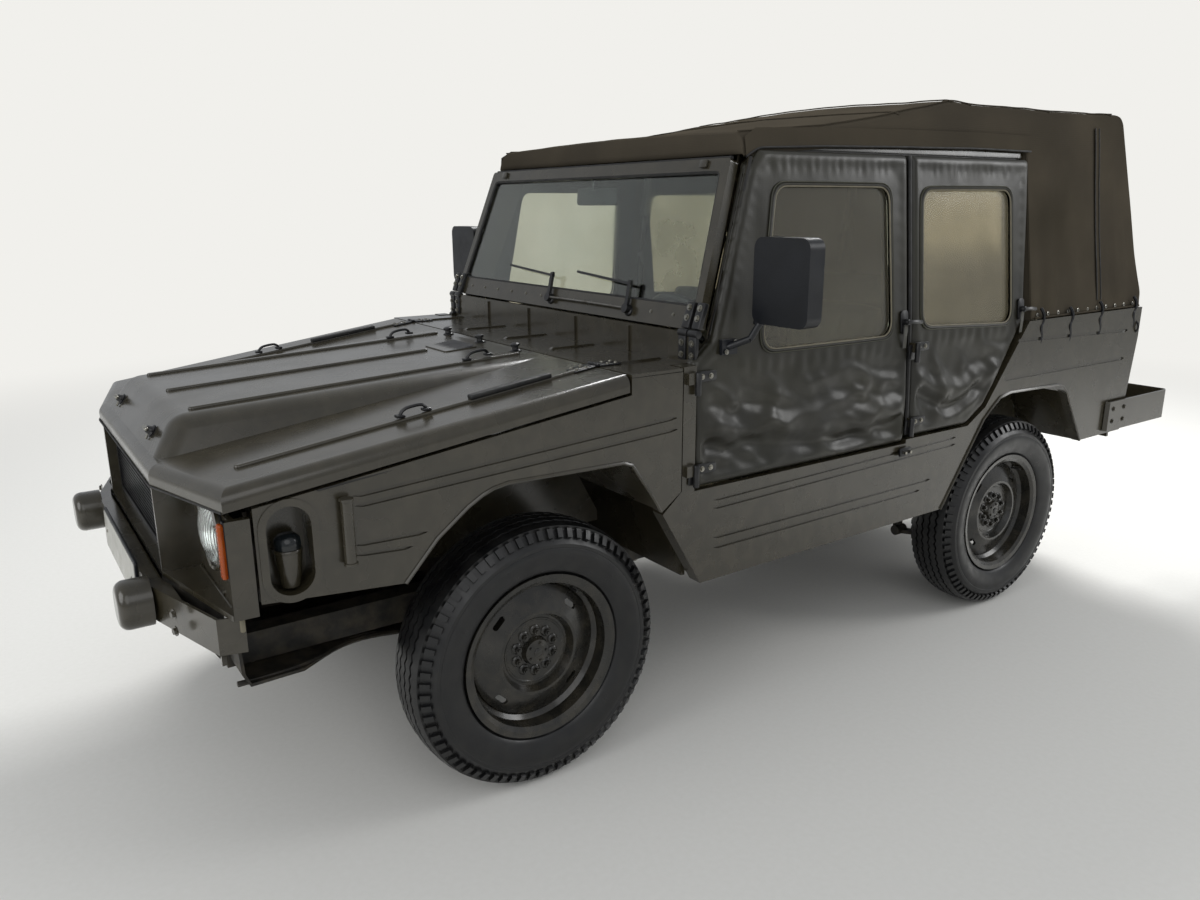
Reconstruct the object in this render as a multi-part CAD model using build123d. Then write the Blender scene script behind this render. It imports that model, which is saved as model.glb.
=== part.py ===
from build123d import *
import math
import os

os.makedirs("parts", exist_ok=True)

# Sizes are in millimetres. X is across the car (+X its left side), Y runs along it
# from the front axle towards the rear, Z is the height over the ground. On export
# every solid moves by ORIGIN_Y, so that the origin lies under the middle of the car.

# Wheels and axles
WHEELBASE = 2017.0
TRACK_FRONT = 1250.0
TRACK_REAR = 1260.0
TYRE_RADIUS = 361.0
AXLE_Z = TYRE_RADIUS
SPINDLE_RADIUS = 18.0
SPINDLE_FIT = 0.05
KINGPIN_X = 560.0

# Body
HALF_WIDTH = 757.0
SILL_TOP_Z = 745.0
WAIST_Z = 1104.0
WALL = 45.0
SHEET = 12.0
FLOOR_Z = 505.0
LOAD_FLOOR_Z = 690.0
NOSE_Y = -826.0
BUMPER_FRONT_Y = -859.0
HORN_TIP_Y = -926.0
BUMPER_REAR_Y = 3036.0
ORIGIN_Y = -(HORN_TIP_Y + BUMPER_REAR_Y) / 2
CAB_FRONT_Y = 464.0

# Bonnet: one sloping plane with a pressed bulge on it
BONNET_FRONT_Z = 941.5
BONNET_SLOPE = 0.1354
BONNET_REAR_Y = 229.0
BONNET_THICK = 16.0
FLANGE_DEPTH = 44.0
NOSE_BEND_X = 401.0
NOSE_CORNER = (735.0, -748.0)
BULGE_HALF = 378.0
BULGE_FRONT_Y = -803.0
BULGE_REAR_Y = 205.0
BULGE_TOP = (-746.0, 1029.5)
BULGE_TOP_SLOPE = 0.0545
BULGE_SIDE_LEAN = 0.61
BULGE_ROUND = 60.0
CREASE_ROUND = 28.0

# Windscreen
SCREEN_HINGE = (479.0, 1170.0)
SCREEN_LEAN = 0.343
SCREEN_HEIGHT = 468.0
SCREEN_HALF_LOW = 712.0
SCREEN_HALF_TOP = 660.0
SCREEN_THICK = 28.0

# Doors
DOOR_THICK = 38.0
DOOR_HINGE_X = 770.0
FRONT_DOOR_HINGE_Y = 440.0
REAR_DOOR_HINGE_Y = 1337.0
DOOR_TOP_Z = 1634.0
HINGE_BARREL_R = 8.0

# Canvas top
CANVAS_THICK = 12.0
CANVAS_REAR_LOW_Y = 2752.0
CANVAS_REAR_TOP_Y = 2645.0


def bonnet_z(y):
    """Height of the bonnet's sloping plane at a station."""
    return BONNET_FRONT_Z + BONNET_SLOPE * (y - NOSE_Y)


def block(x0, x1, y0, y1, z0, z1):
    """A box between two corners."""
    return Pos((x0 + x1) / 2, (y0 + y1) / 2, (z0 + z1) / 2) * Box(abs(x1 - x0), abs(y1 - y0), abs(z1 - z0))


def side_prism(points, x0, x1):
    """A side-view outline (y, z) drawn out across the car from x0 to x1."""
    face = Plane.YZ.offset(x0) * make_face(Polyline(*points, close=True))
    return extrude(face, amount=x1 - x0, dir=(1, 0, 0))


def front_prism(points, y0, y1):
    """A front-view outline (x, z) drawn out along the car from y0 to y1."""
    face = Plane.XZ.offset(-y0) * make_face(Polyline(*points, close=True))
    return extrude(face, amount=y1 - y0, dir=(0, 1, 0))


def plan_prism(points, z0, z1):
    """A plan-view outline (x, y) drawn up from z0 to z1."""
    face = Plane.XY.offset(z0) * make_face(Polyline(*points, close=True))
    return extrude(face, amount=z1 - z0, dir=(0, 0, 1))


def tube(points, radius, bend=60.0):
    """A round bar bent along a route of straight runs."""
    if len(points) > 2:
        path = FilletPolyline(*points, radius=bend)
    else:
        path = Line(*points)
    start = Plane(origin=path @ 0, z_dir=path % 0)
    return sweep(start * Circle(radius), path=path)


def rod(start, end, radius):
    """A straight round bar between two points."""
    a, b = Vector(*start), Vector(*end)
    return Solid.make_cylinder(radius, (b - a).length, Plane(origin=a, z_dir=b - a))


def strip_outline(points, width):
    """A plan or side outline of a bent strip: the line and its parallel at one side."""
    inner = []
    for i, point in enumerate(points):
        before = points[max(i - 1, 0)]
        after = points[min(i + 1, len(points) - 1)]
        length = math.hypot(after[0] - before[0], after[1] - before[1])
        inner.append((point[0] - width * (after[1] - before[1]) / length,
                      point[1] + width * (after[0] - before[0]) / length))
    return list(points) + inner[::-1]


def both_sides(shape):
    """The shape and its mirror image on the other side of the car."""
    return [shape, mirror(shape, about=Plane.YZ)]


def save(node, *shapes):
    """Write one node with its solids, moved to the part's origin."""
    solids = []
    for shape in shapes:
        for solid in (shape if isinstance(shape, (list, tuple)) else [shape]):
            solids.extend(solid.solids())
    moved = [s.moved(Location((0, ORIGIN_Y, 0))) for s in solids]
    export_step(moved[0] if len(moved) == 1 else Compound(children=moved), f"parts/{node}.step")


# Wheels
# Tyre section: (distance outboard of the wheel's middle, radius)
TYRE_SECTION = [(-58, 206.5), (-61, 226), (-75, 230), (-90, 283), (-84, 325), (-68, 350), (-30, 360),
                (0, TYRE_RADIUS), (30, 360), (68, 350), (84, 325), (90, 283), (75, 230), (61, 226), (58, 206.5)]
RIM_SECTION = [(-62, 206), (-66, 224), (-72, 224), (-69, 210), (-62, 198), (-28, 194), (-17, 179), (14, 179),
               (28, 194), (62, 198), (69, 210), (72, 224), (66, 224), (62, 206), (54, 203), (30, 201),
               (18, 186), (-20, 186), (-30, 201), (-54, 203)]
DISC_SECTION = [(12, 180), (20, 180), (26, 166), (36, 140), (45, 116), (45, 108), (24, 98), (24, 40), (38, 34),
                (42, 20), (42, 0), (30, 0), (30, 24), (16, 30), (16, 94), (30, 110), (26, 142), (17, 166)]
HUB_SECTION = [(-34, SPINDLE_RADIUS + SPINDLE_FIT), (26, SPINDLE_RADIUS + SPINDLE_FIT), (26, 0), (32, 0),
               (32, 34), (-34, 34)]
DRUM_SECTION = [(-48, 118), (-48, 127), (14, 127), (22, 110), (22, 30), (8, 30), (8, 118)]
SLOT_RADIUS = 151.0
SLOT_COUNT = 4


def turned(sections, x, y):
    """Sections (outboard, radius), joined to one outline and turned about a left wheel's axle."""
    outline = make_face(Polyline(*sections[0], close=True))
    for section in sections[1:]:
        outline = outline + make_face(Polyline(*section, close=True))
    plane = Plane(origin=(x, y, AXLE_Z), x_dir=(1, 0, 0), z_dir=(0, -1, 0))
    return revolve(plane * outline, axis=Axis((x, y, AXLE_Z), (1, 0, 0)))


def wheel_parts(x, y):
    """A left wheel: its tyre, and its rim with disc, hub and brake drum."""
    tyre = turned([TYRE_SECTION], x, y)
    rim = turned([RIM_SECTION, DISC_SECTION, HUB_SECTION, DRUM_SECTION], x, y)
    for i in range(SLOT_COUNT):
        turn = math.radians(360 / SLOT_COUNT * (i + 0.5))
        centre = (x, y + SLOT_RADIUS * math.cos(turn), AXLE_Z + SLOT_RADIUS * math.sin(turn))
        plane = Plane(origin=centre, x_dir=(0, -math.sin(turn), math.cos(turn)), z_dir=(1, 0, 0))
        rim = rim - extrude(plane * SlotOverall(42, 14), amount=45, both=True)
    return tyre, rim


for end, half_track, y in [("front", TRACK_FRONT / 2, 0.0), ("rear", TRACK_REAR / 2, WHEELBASE)]:
    tyre, rim = wheel_parts(half_track, y)
    for side, index in [("left", 0), ("right", 1)]:
        save(f"tyre_{end}_{side}", both_sides(tyre)[index])
        save(f"rim_{end}_{side}", both_sides(rim)[index])


def hub_carrier(x, y):
    """The upright that carries a left wheel: post, backing plate, spindle and joint studs."""
    post = front_prism([(x - 80, AXLE_Z - 105), (x - 46, AXLE_Z - 60), (x - 46, AXLE_Z + 60), (x - 80, AXLE_Z + 105)],
                       y - 32, y + 32)
    plate = rod((x - 46, y, AXLE_Z), (x - 41, y, AXLE_Z), 111)
    spindle = rod((x - 60, y, AXLE_Z), (x + 20, y, AXLE_Z), SPINDLE_RADIUS)
    return post + plate + spindle


STEER_ARM_REACH = 135.0
# Joint studs over the wishbone and under the spring: (foot, head), and the gap left on a steered knuckle
LOWER_STUD_Z = (221.0, 281.0)
UPPER_STUD_Z = (441.0, 491.0)
STUD_GAP = 1.0


def studs(y, gap):
    """The two joint studs of a left wheel's upright, on the kingpin line."""
    lower = rod((KINGPIN_X, y, LOWER_STUD_Z[0] + gap), (KINGPIN_X, y, LOWER_STUD_Z[1]), 14)
    return lower + rod((KINGPIN_X, y, UPPER_STUD_Z[0]), (KINGPIN_X, y, UPPER_STUD_Z[1] - gap), 14)


steering_arm = block(KINGPIN_X - 14, KINGPIN_X + 14, -STEER_ARM_REACH, -20, AXLE_Z + 30, AXLE_Z + 46)
knuckle = hub_carrier(TRACK_FRONT / 2, 0.0) + studs(0.0, STUD_GAP) + steering_arm
for side, shape in zip(("left", "right"), both_sides(knuckle)):
    save(f"knuckle_{side}", shape)
save("rear_hub_carriers", both_sides(hub_carrier(TRACK_REAR / 2, WHEELBASE) + studs(WHEELBASE, 0.0)))

# Chassis: two box rails, cross members, front tow eyes and the rear tow ring
RAIL_X = (290.0, 350.0)
RAIL_Z = (392.0, 470.0)
RAIL_Y = (-700.0, 2735.0)
CROSS_HALF_WIDTH = 28.0
CROSS_Y = [-640.0, 560.0, 1180.0, 1830.0, 2210.0, 2690.0]
TOW_EYE = (320.0, -760.0, 560.0)
TOW_EYE_BORE = 16.0
TOW_EYE_THICK = 20.0
TOW_RING = (0.0, 2840.0, 431.0)
TOW_RING_RADIUS = 42.0
TOW_RING_BORE = 24.0
TOW_RING_HEIGHT = 44.0

save("frame_rails", both_sides(block(*RAIL_X, *RAIL_Y, *RAIL_Z)))
cross_z = (RAIL_Z[0] + 6, RAIL_Z[1] - 6)
save("cross_members", [block(-RAIL_X[0], RAIL_X[0], y - CROSS_HALF_WIDTH, y + CROSS_HALF_WIDTH, *cross_z)
                       for y in CROSS_Y])
eye_y, eye_z = TOW_EYE[1:]
eye_plate = side_prism([(RAIL_Y[0], RAIL_Z[0]), (RAIL_Y[0], RAIL_Z[1]), (eye_y + 20, eye_z + 34),
                        (eye_y - 20, eye_z + 34), (eye_y - 34, eye_z), (eye_y - 20, eye_z - 34)],
                       TOW_EYE[0] - TOW_EYE_THICK / 2, TOW_EYE[0] + TOW_EYE_THICK / 2)
eye_plate = eye_plate - rod((TOW_EYE[0] - 40, eye_y, eye_z), (TOW_EYE[0] + 40, eye_y, eye_z), TOW_EYE_BORE)
ring_foot = (0, TOW_RING[1], TOW_RING[2] - TOW_RING_HEIGHT / 2)
ring_head = (0, TOW_RING[1], TOW_RING[2] + TOW_RING_HEIGHT / 2)
ring = rod((0, CROSS_Y[-1] + CROSS_HALF_WIDTH, TOW_RING[2]), (0, TOW_RING[1] - 40, TOW_RING[2]), TOW_RING_BORE)
ring = ring + rod(ring_foot, ring_head, TOW_RING_RADIUS) - rod(ring_foot, ring_head, TOW_RING_BORE)
save("tow_points", both_sides(eye_plate), ring)

# Suspension: wishbones and dampers below, transverse leaf springs above
WISHBONE_Z = (206.0, 221.0)
BUSH_X = 345.0
BUSH_SPREAD = 131.0
BUSH_RADIUS = 20.0
SPRING_Z = 491.0
LEAF_THICK = 9.0
LEAF_HALF_WIDTH = 30.0
LEAF_TIP_X = 566.0
LEAF_HALF_LENGTHS = (430.0, 300.0)


def wishbone(y):
    """A left lower wishbone: a forked plate, its two bushes and their brackets under the rail."""
    x, far, near = KINGPIN_X, BUSH_SPREAD + 19, BUSH_SPREAD - 19
    arm = plan_prism([(x + 18, y - 20), (x + 18, y + 20), (x - 60, y + 48), (BUSH_X, y + far), (BUSH_X, y + near),
                      (x - 110, y + 34), (x - 110, y - 34), (BUSH_X, y - near), (BUSH_X, y - far),
                      (x - 60, y - 48)], *WISHBONE_Z)
    bush_z = WISHBONE_Z[0] + 12
    for bush_y in (y - BUSH_SPREAD, y + BUSH_SPREAD):
        arm = arm + rod((BUSH_X, bush_y - 26, bush_z), (BUSH_X, bush_y + 26, bush_z), BUSH_RADIUS)
        arm = arm + block(BUSH_X - 20, BUSH_X + 5, bush_y - 14, bush_y + 14, bush_z + 8, RAIL_Z[0])
    return arm


def damper(y, side):
    """A left telescopic damper beside the axle: stud, body, rod and its bracket on the rail."""
    foot_y, head_y = y + side * 68.0, y + side * 120.0
    middle = (410, (foot_y + head_y) / 2, 350)
    body = rod((455, foot_y, WISHBONE_Z[1] - 2), (455, foot_y, 250), 10) + rod((455, foot_y, 245), middle, 24)
    body = body + rod(middle, (376, head_y, 452), 16)
    return body + block(RAIL_X[1], 380, head_y - 12, head_y + 12, 438, 462)


def leaf_spring(y):
    """A transverse spring across the car: a stack of leaves on two pads on the rails."""
    tip, root, half = LEAF_TIP_X, LEAF_TIP_X - 26, LEAF_HALF_WIDTH
    stack = plan_prism([(-tip, y - 14), (-root, y - half), (root, y - half), (tip, y - 14), (tip, y + 14),
                        (root, y + half), (-root, y + half), (-tip, y + 14)], SPRING_Z, SPRING_Z + LEAF_THICK)
    for i, length in enumerate(LEAF_HALF_LENGTHS, 1):
        z = SPRING_Z + i * LEAF_THICK
        stack = stack + block(-length, length, y - half, y + half, z, z + LEAF_THICK)
    for x in (-320, 320):
        stack = stack + block(x - 24, x + 24, y - half - 4, y + half + 4, RAIL_Z[1], SPRING_Z)
    return stack


arms = []
for y, side in [(0.0, -1), (WHEELBASE, 1)]:
    arms.extend(both_sides(wishbone(y) + damper(y, side)))
save("wishbones", arms)
save("leaf_springs", leaf_spring(0.0), leaf_spring(WHEELBASE))

# Engine, drive line and what hangs under the floor
DIFF_RADIUS = 70.0
PROP_Z = 350.0
FRONT_SHAFT_END = 515.0
REAR_SHAFT_END = 542.0

engine = block(-190, 150, -560, -72, 440, 780) + block(-120, 130, -540, -95, 780, 868)
engine = engine + block(-90, 90, -590, -560, 470, 700)
save("engine", engine)
case = block(-115, 115, -68, 130, 345, 482)
case = case + side_prism([(130, 345), (520, 330), (520, 470), (130, 482)], -95, 95)
case = case + rod((-115, 0, AXLE_Z), (115, 0, AXLE_Z), DIFF_RADIUS)
rear_case = rod((-115, WHEELBASE, AXLE_Z), (115, WHEELBASE, AXLE_Z), DIFF_RADIUS + 12)
rear_case = rear_case + block(-60, 60, WHEELBASE - 130, WHEELBASE, AXLE_Z - 50, AXLE_Z + 40)
save("drive_cases", case, rear_case)
shafts = [rod((0, 522, PROP_Z), (0, WHEELBASE - 132, PROP_Z), 26)]
for y, end_x in [(0.0, FRONT_SHAFT_END), (WHEELBASE, REAR_SHAFT_END)]:
    shaft = rod((117, y, AXLE_Z), (end_x, y, AXLE_Z), 14) + rod((117, y, AXLE_Z), (180, y, AXLE_Z), 39)
    shaft = shaft + rod((end_x - 70, y, AXLE_Z), (end_x, y, AXLE_Z), 41)
    shafts.extend(both_sides(shaft))
save("drive_shafts", shafts)
TANK_OUTLINE = [(2270, 480), (2300, 440), (2600, 440), (2630, 480), (2630, LOAD_FLOOR_Z - SHEET),
                (2270, LOAD_FLOOR_Z - SHEET)]
save("fuel_tank", side_prism(TANK_OUTLINE, -270, 270))
# The pipe passes over the front half-shaft, under the cross members and out in front of the rear wheel
EXHAUST_ROUTE = [(-216, -210, 560), (-216, -210, 430), (-216, 140, 430), (-204, 420, 362), (-204, 1440, 362),
                 (-690, 1440, 350)]
muffler = rod((-204, 640, 362), (-204, 1120, 362), 66)
for y in (700, 1060):
    muffler = muffler + rod((-204, y, 362), (-204, y, FLOOR_Z - SHEET), 7)
save("exhaust", muffler + tube(EXHAUST_ROUTE, 22, bend=55))
GUARD_SECTION = [(-690, 520), (-684, 420), (-672, 391), (-560, 384), (-330, 368), (-80, 282), (100, 278)]
GUARD_PLAN = [(-470, -720), (470, -720), (440, -540), (320, -380), (180, 110), (-180, 110), (-320, -380),
              (-440, -540)]
guard = side_prism(strip_outline(GUARD_SECTION, -8), -480, 480) & plan_prism(GUARD_PLAN, 200, 600)
for x0, x1 in [(-352, -288), (288, 352)]:
    guard = guard - block(x0, x1, -720, -668, 388, 540)
save("skid_plate", guard)
radiator = block(-310, 310, -746, -690, 560, 860) + block(-280, 280, -744, -692, 858, 884)
for x in (-245, 245):
    radiator = radiator + block(x - 15, x + 15, -676, -655, RAIL_Z[1] - 6, 575)
    radiator = radiator + block(x - 15, x + 15, -700, -670, 545, 575)
save("radiator", radiator)

# Floor, tunnel, load floor and wheel boxes
ARCH_FRONT = [(-382, 676), (-301, 766), (-223, 826), (-157, 859), (-117, 866), (230, 862), (306, 751),
              (330, 711)]
ARCH_REAR = [(1546, 481), (1745, 767), (1833, 837), (1891, 848), (2212, 841), (2261, 805), (2399, 598)]
WHEEL_BOX_X = 500.0
WHEEL_BOX_LOW_Z = 535.0
SIDE_IN = HALF_WIDTH - WALL
FLOOR_HALF = SIDE_IN - 1
TUNNEL_HALF = 150.0
TUNNEL_TOP_Z = 640.0
TUNNEL_TAPER = 20.0
SEAT_STEP_Y = 1640.0
REAR_PANEL_Y = 2700.0
REAR_PANEL_Z = (560.0, 756.0)
TAILGATE_HINGE = (2724.0, 760.0)
TAILGATE_BARREL_R = 7.0
TAILGATE_HINGE_X = (-420.0, 420.0)


def tunnel_prism(inset):
    """The transmission tunnel's trapezium, drawn along the cab floor."""
    low, foot = TUNNEL_HALF - inset, FLOOR_Z - (SHEET if inset else 0)
    high = low - TUNNEL_TAPER
    return front_prism([(-low, foot), (-high, TUNNEL_TOP_Z - inset), (high, TUNNEL_TOP_Z - inset), (low, foot)],
                       CAB_FRONT_Y, SEAT_STEP_Y)


floor = block(-FLOOR_HALF, FLOOR_HALF, CAB_FRONT_Y, SEAT_STEP_Y, FLOOR_Z - SHEET, FLOOR_Z)
floor = floor + tunnel_prism(0) - tunnel_prism(SHEET)
floor = floor + block(-FLOOR_HALF, FLOOR_HALF, SEAT_STEP_Y, SEAT_STEP_Y + SHEET, FLOOR_Z - SHEET, LOAD_FLOOR_Z)
floor = floor + block(-FLOOR_HALF, FLOOR_HALF, SEAT_STEP_Y, REAR_PANEL_Y, LOAD_FLOOR_Z - SHEET, LOAD_FLOOR_Z)
box_wall = [(1590, WHEEL_BOX_LOW_Z)] + [(y, z + SHEET) for y, z in ARCH_REAR[1:-1]]
box_wall = box_wall + [(2390, 598), (2390, WHEEL_BOX_LOW_Z)]
for sign in (-1, 1):
    lining_x = sorted((sign * FLOOR_HALF, sign * (WHEEL_BOX_X + SHEET)))
    wall_x = sorted((sign * WHEEL_BOX_X, sign * (WHEEL_BOX_X + SHEET)))
    floor = floor - side_prism(ARCH_REAR, *lining_x) + side_prism(strip_outline(ARCH_REAR, SHEET), *lining_x)
    floor = floor + side_prism(box_wall, *wall_x)
floor = floor + block(-FLOOR_HALF, FLOOR_HALF, REAR_PANEL_Y, REAR_PANEL_Y + SHEET, *REAR_PANEL_Z)
hinge_y, hinge_z = TAILGATE_HINGE
for x in TAILGATE_HINGE_X:
    floor = floor + rod((x - 60, hinge_y, hinge_z), (x - 1, hinge_y, hinge_z), TAILGATE_BARREL_R)
    floor = floor + block(x - 60, x - 1, REAR_PANEL_Y + 8, hinge_y, REAR_PANEL_Z[1] - 12, REAR_PANEL_Z[1])
save("floor_pan", floor)

# Body sides with their rear arches, the door posts, the rear corners and the fixed halves of the hinges
SIDE_OUTLINE = [(473, 472), (1546, 481)] + ARCH_REAR[1:] + [
    (2700, 600), (2716, 748), (2746, 972), (2748, 1092), (1966, 1092), (1752, 812), (1658, 758), (1332, 758),
    (1332, SILL_TOP_Z), (445, SILL_TOP_Z), (445, 1087), (402, 1087), (402, 752), (338, 698)]
CORNER_OUTLINE = [(2688, 760), (2717, 760), (2744, 972), (2746, 1092), (2716, 1092), (2714, 972)]
POST_SECTION = [(660, FLOOR_Z), (712, FLOOR_Z), (712, 745), (700, 900), (690, 1096), (660, 1096)]
POST_Y = (1296.0, 1372.0)
TAILGATE_HALF = 560.0
GROOVE_DEPTH = 5.0
GROOVE_POINT = 20.0
# Pressed grooves of the side: (start (y, z), end (y, z), width)
SIDE_GROOVES = [((1905, 1028), (2660, 1007), 12), ((1840, 897), (2660, 896), 12), ((513, 707), (1600, 727), 9),
                ((513, 683), (1600, 703), 9), ((517, 596), (1478, 600), 9), ((517, 566), (1428, 571), 9)]
# Door hinges: (hinge line's y, heights of the fixed knuckles)
HINGES = {"front": (FRONT_DOOR_HINGE_Y, (790, 1040)), "rear": (REAR_DOOR_HINGE_Y, (800, 1040))}
HINGE_HEIGHT = 30.0


def groove_outline(start, end, width):
    """The side outline of a straight pressed groove, pointed at both ends."""
    (y0, z0), (y1, z1) = start, end
    half = width / 2
    return [(y0, z0), (y0 + GROOVE_POINT, z0 + half), (y1 - GROOVE_POINT, z1 + half), (y1, z1),
            (y1 - GROOVE_POINT, z1 - half), (y0 + GROOVE_POINT, z0 - half)]


side = side_prism(SIDE_OUTLINE, SIDE_IN, HALF_WIDTH)
for start, end, width in SIDE_GROOVES:
    side = side - side_prism(groove_outline(start, end, width), HALF_WIDTH - GROOVE_DEPTH, HALF_WIDTH + 10)
side = side + front_prism(POST_SECTION, *POST_Y)
side = side + side_prism(CORNER_OUTLINE, TAILGATE_HALF + 8, SIDE_IN + 1)
for hinge_y, heights in HINGES.values():
    for z in heights:
        side = side + rod((DOOR_HINGE_X, hinge_y, z), (DOOR_HINGE_X, hinge_y, z + HINGE_HEIGHT), HINGE_BARREL_R)
for z in HINGES["front"][1]:
    side = side + block(752, DOOR_HINGE_X - 2, FRONT_DOOR_HINGE_Y - 30, FRONT_DOOR_HINGE_Y, z, z + HINGE_HEIGHT)
for z in HINGES["rear"][1]:
    side = side + block(680, DOOR_HINGE_X, REAR_DOOR_HINGE_Y - 6, REAR_DOOR_HINGE_Y - 2, z, z + HINGE_HEIGHT)
save("body_sides", both_sides(side))

# Front wings: skin with its arch, lamp recess and tool tube, and the wheel housing behind it
WING_THICK = 18.0
COWL_Y = 235.0
WING_TAPER = 22 / 982
WING_OUT = (982 / math.hypot(982, 22), -22 / math.hypot(982, 22), 0)
WING_IN = (-WING_OUT[0], -WING_OUT[1], 0)
WING_PLANE = Plane(origin=(HALF_WIDTH, COWL_Y, 0), x_dir=(22, 982, 0), z_dir=WING_OUT)
HOUSING_X = (345.0, 357.0)
LAMP_RECESS = (-625.0, 805.0)
RECESS_DEPTH = 66.0
WING_OUTLINE = [(-693, 702)] + ARCH_FRONT[:-1] + [(332, 706), (396, 753), (396, 1076), (COWL_Y, 1076),
                                                  (COWL_Y, 1033), (-693, 908)]
# Pressed grooves of the wing: (start (y, z), end (y, z), width)
WING_GROOVES = [((-489, 899), (381, 957), 10), ((-485, 876), (382, 926), 10), ((-491, 788), (-322, 786), 9),
                ((-493, 765), (-359, 759), 9)]
TOOL_TUBE = (HALF_WIDTH, -507.0)


def wing_x(y):
    """The wing's outer face at a station: it tapers towards the nose."""
    return HALF_WIDTH - WING_TAPER * (COWL_Y - y)


def on_wing(points, depth, proud=0.0):
    """A side outline (y, z) drawn inwards from the wing's tapering outer plane."""
    outline = Polyline(*[(y - COWL_Y, z) for y, z in points], close=True)
    return extrude(WING_PLANE.offset(proud) * make_face(outline), amount=depth + proud, dir=WING_IN)


def lamp_oval(grow):
    """The upright oval of the lamp recess, on the wing's plane."""
    spot = WING_PLANE * Pos(LAMP_RECESS[0] - COWL_Y, LAMP_RECESS[1]) * Rot(0, 0, 90)
    return spot * SlotOverall(194 + 2 * grow, 92 + 2 * grow)


wing = on_wing(WING_OUTLINE, WING_THICK)
wing = wing + side_prism(strip_outline(ARCH_FRONT, SHEET), HOUSING_X[0], HALF_WIDTH - 24)
housing_wall = [(-382, 560), (-382, 676)] + [(y, z + SHEET) for y, z in ARCH_FRONT[1:-1]]
wing = wing + side_prism(housing_wall + [(400, 590), (400, 560)], *HOUSING_X)
wing = wing + extrude(lamp_oval(16), amount=3, dir=WING_OUT)
wing = wing + extrude(lamp_oval(8), amount=RECESS_DEPTH + 8, dir=WING_IN)
wing = wing - extrude(lamp_oval(0), amount=RECESS_DEPTH, dir=WING_IN) - extrude(lamp_oval(0), amount=9, dir=WING_OUT)
for start, end, width in WING_GROOVES:
    wing = wing - on_wing(groove_outline(start, end, width), GROOVE_DEPTH, proud=8)
wing = wing + rod((*TOOL_TUBE, 753), (*TOOL_TUBE, 903), 13)
for z in (760, 880):
    wing = wing + block(735, TOOL_TUBE[0], TOOL_TUBE[1] - 8, TOOL_TUBE[1] + 8, z, z + 15)
save("front_wings", both_sides(wing))
LAMP_POST = (wing_x(-621) - RECESS_DEPTH + 30, -621.0)
side_lamp = Solid.make_cone(20, 28, 95, Plane(origin=(*LAMP_POST, 722), z_dir=(0, 0, 1)))
side_lamp = side_lamp + rod((*LAMP_POST, 711.2), (*LAMP_POST, 723), 12) + rod((*LAMP_POST, 816), (*LAMP_POST, 833), 29.5)
save("side_lamps", both_sides(side_lamp))

# Front panel: grille box, headlamp recesses and corners
GRILLE_WALL_X = 390.0
BOX_FRONT_Y = -822.0
MESH_Y = -797.0
LAMP_PANEL_Y = -738.0
HEADLAMP = (600.0, 835.0)
HEADLAMP_RADIUS = 86.0
HEADLAMP_HOLE = 78.0
TRAY_Z = 690.0
PANEL_TOP_Z = 890.0
BAR_COUNT = 14
STAY_COUNT = 5

inner_x = GRILLE_WALL_X - SHEET
lamp_panel = block(inner_x, 722, LAMP_PANEL_Y, LAMP_PANEL_Y + SHEET, TRAY_Z - SHEET, PANEL_TOP_Z)
lamp_panel = lamp_panel - rod((HEADLAMP[0], LAMP_PANEL_Y - 20, HEADLAMP[1]),
                              (HEADLAMP[0], LAMP_PANEL_Y + 40, HEADLAMP[1]), HEADLAMP_HOLE)
front = plan_prism([(735, -748), (737, -699), (719, -699), (717, -738)], TRAY_Z - SHEET, PANEL_TOP_Z)
front = front + plan_prism([(GRILLE_WALL_X, BOX_FRONT_Y), (733, -750), (733, -712), (GRILLE_WALL_X, -712)],
                           TRAY_Z - SHEET, TRAY_Z)
front = front + block(inner_x, GRILLE_WALL_X, BOX_FRONT_Y, -700, TRAY_Z - SHEET, PANEL_TOP_Z)
front = front + lamp_panel + block(356, 690, -735, -723, 600, TRAY_Z)
front = front + mirror(front, about=Plane.YZ)
front = front + block(-GRILLE_WALL_X, GRILLE_WALL_X, BOX_FRONT_Y, -750, TRAY_Z - SHEET, TRAY_Z)
front = front + block(-GRILLE_WALL_X, GRILLE_WALL_X, -760, -748, 866, 884)
save("front_panel", front)
GRILLE_HALF = inner_x - 1
WINDOW_Z = (703.0, 868.0)
grille = block(-GRILLE_HALF, GRILLE_HALF, MESH_Y, MESH_Y + 12, TRAY_Z, 880)
grille = grille - block(-GRILLE_HALF + 12, GRILLE_HALF - 12, MESH_Y - 5, MESH_Y + 20, *WINDOW_Z)
for i in range(1, BAR_COUNT + 1):
    z = WINDOW_Z[0] + (WINDOW_Z[1] - WINDOW_Z[0]) / (BAR_COUNT + 1) * i
    grille = grille + block(-GRILLE_HALF + 10, GRILLE_HALF - 10, MESH_Y + 2, MESH_Y + 8, z - 1.5, z + 1.5)
for i in range(1, STAY_COUNT + 1):
    x = -GRILLE_HALF + 2 * GRILLE_HALF / (STAY_COUNT + 1) * i
    grille = grille + block(x - 3, x + 3, MESH_Y + 6, MESH_Y + 12, WINDOW_Z[0] - 5, WINDOW_Z[1] + 5)
save("grille", grille)
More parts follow.
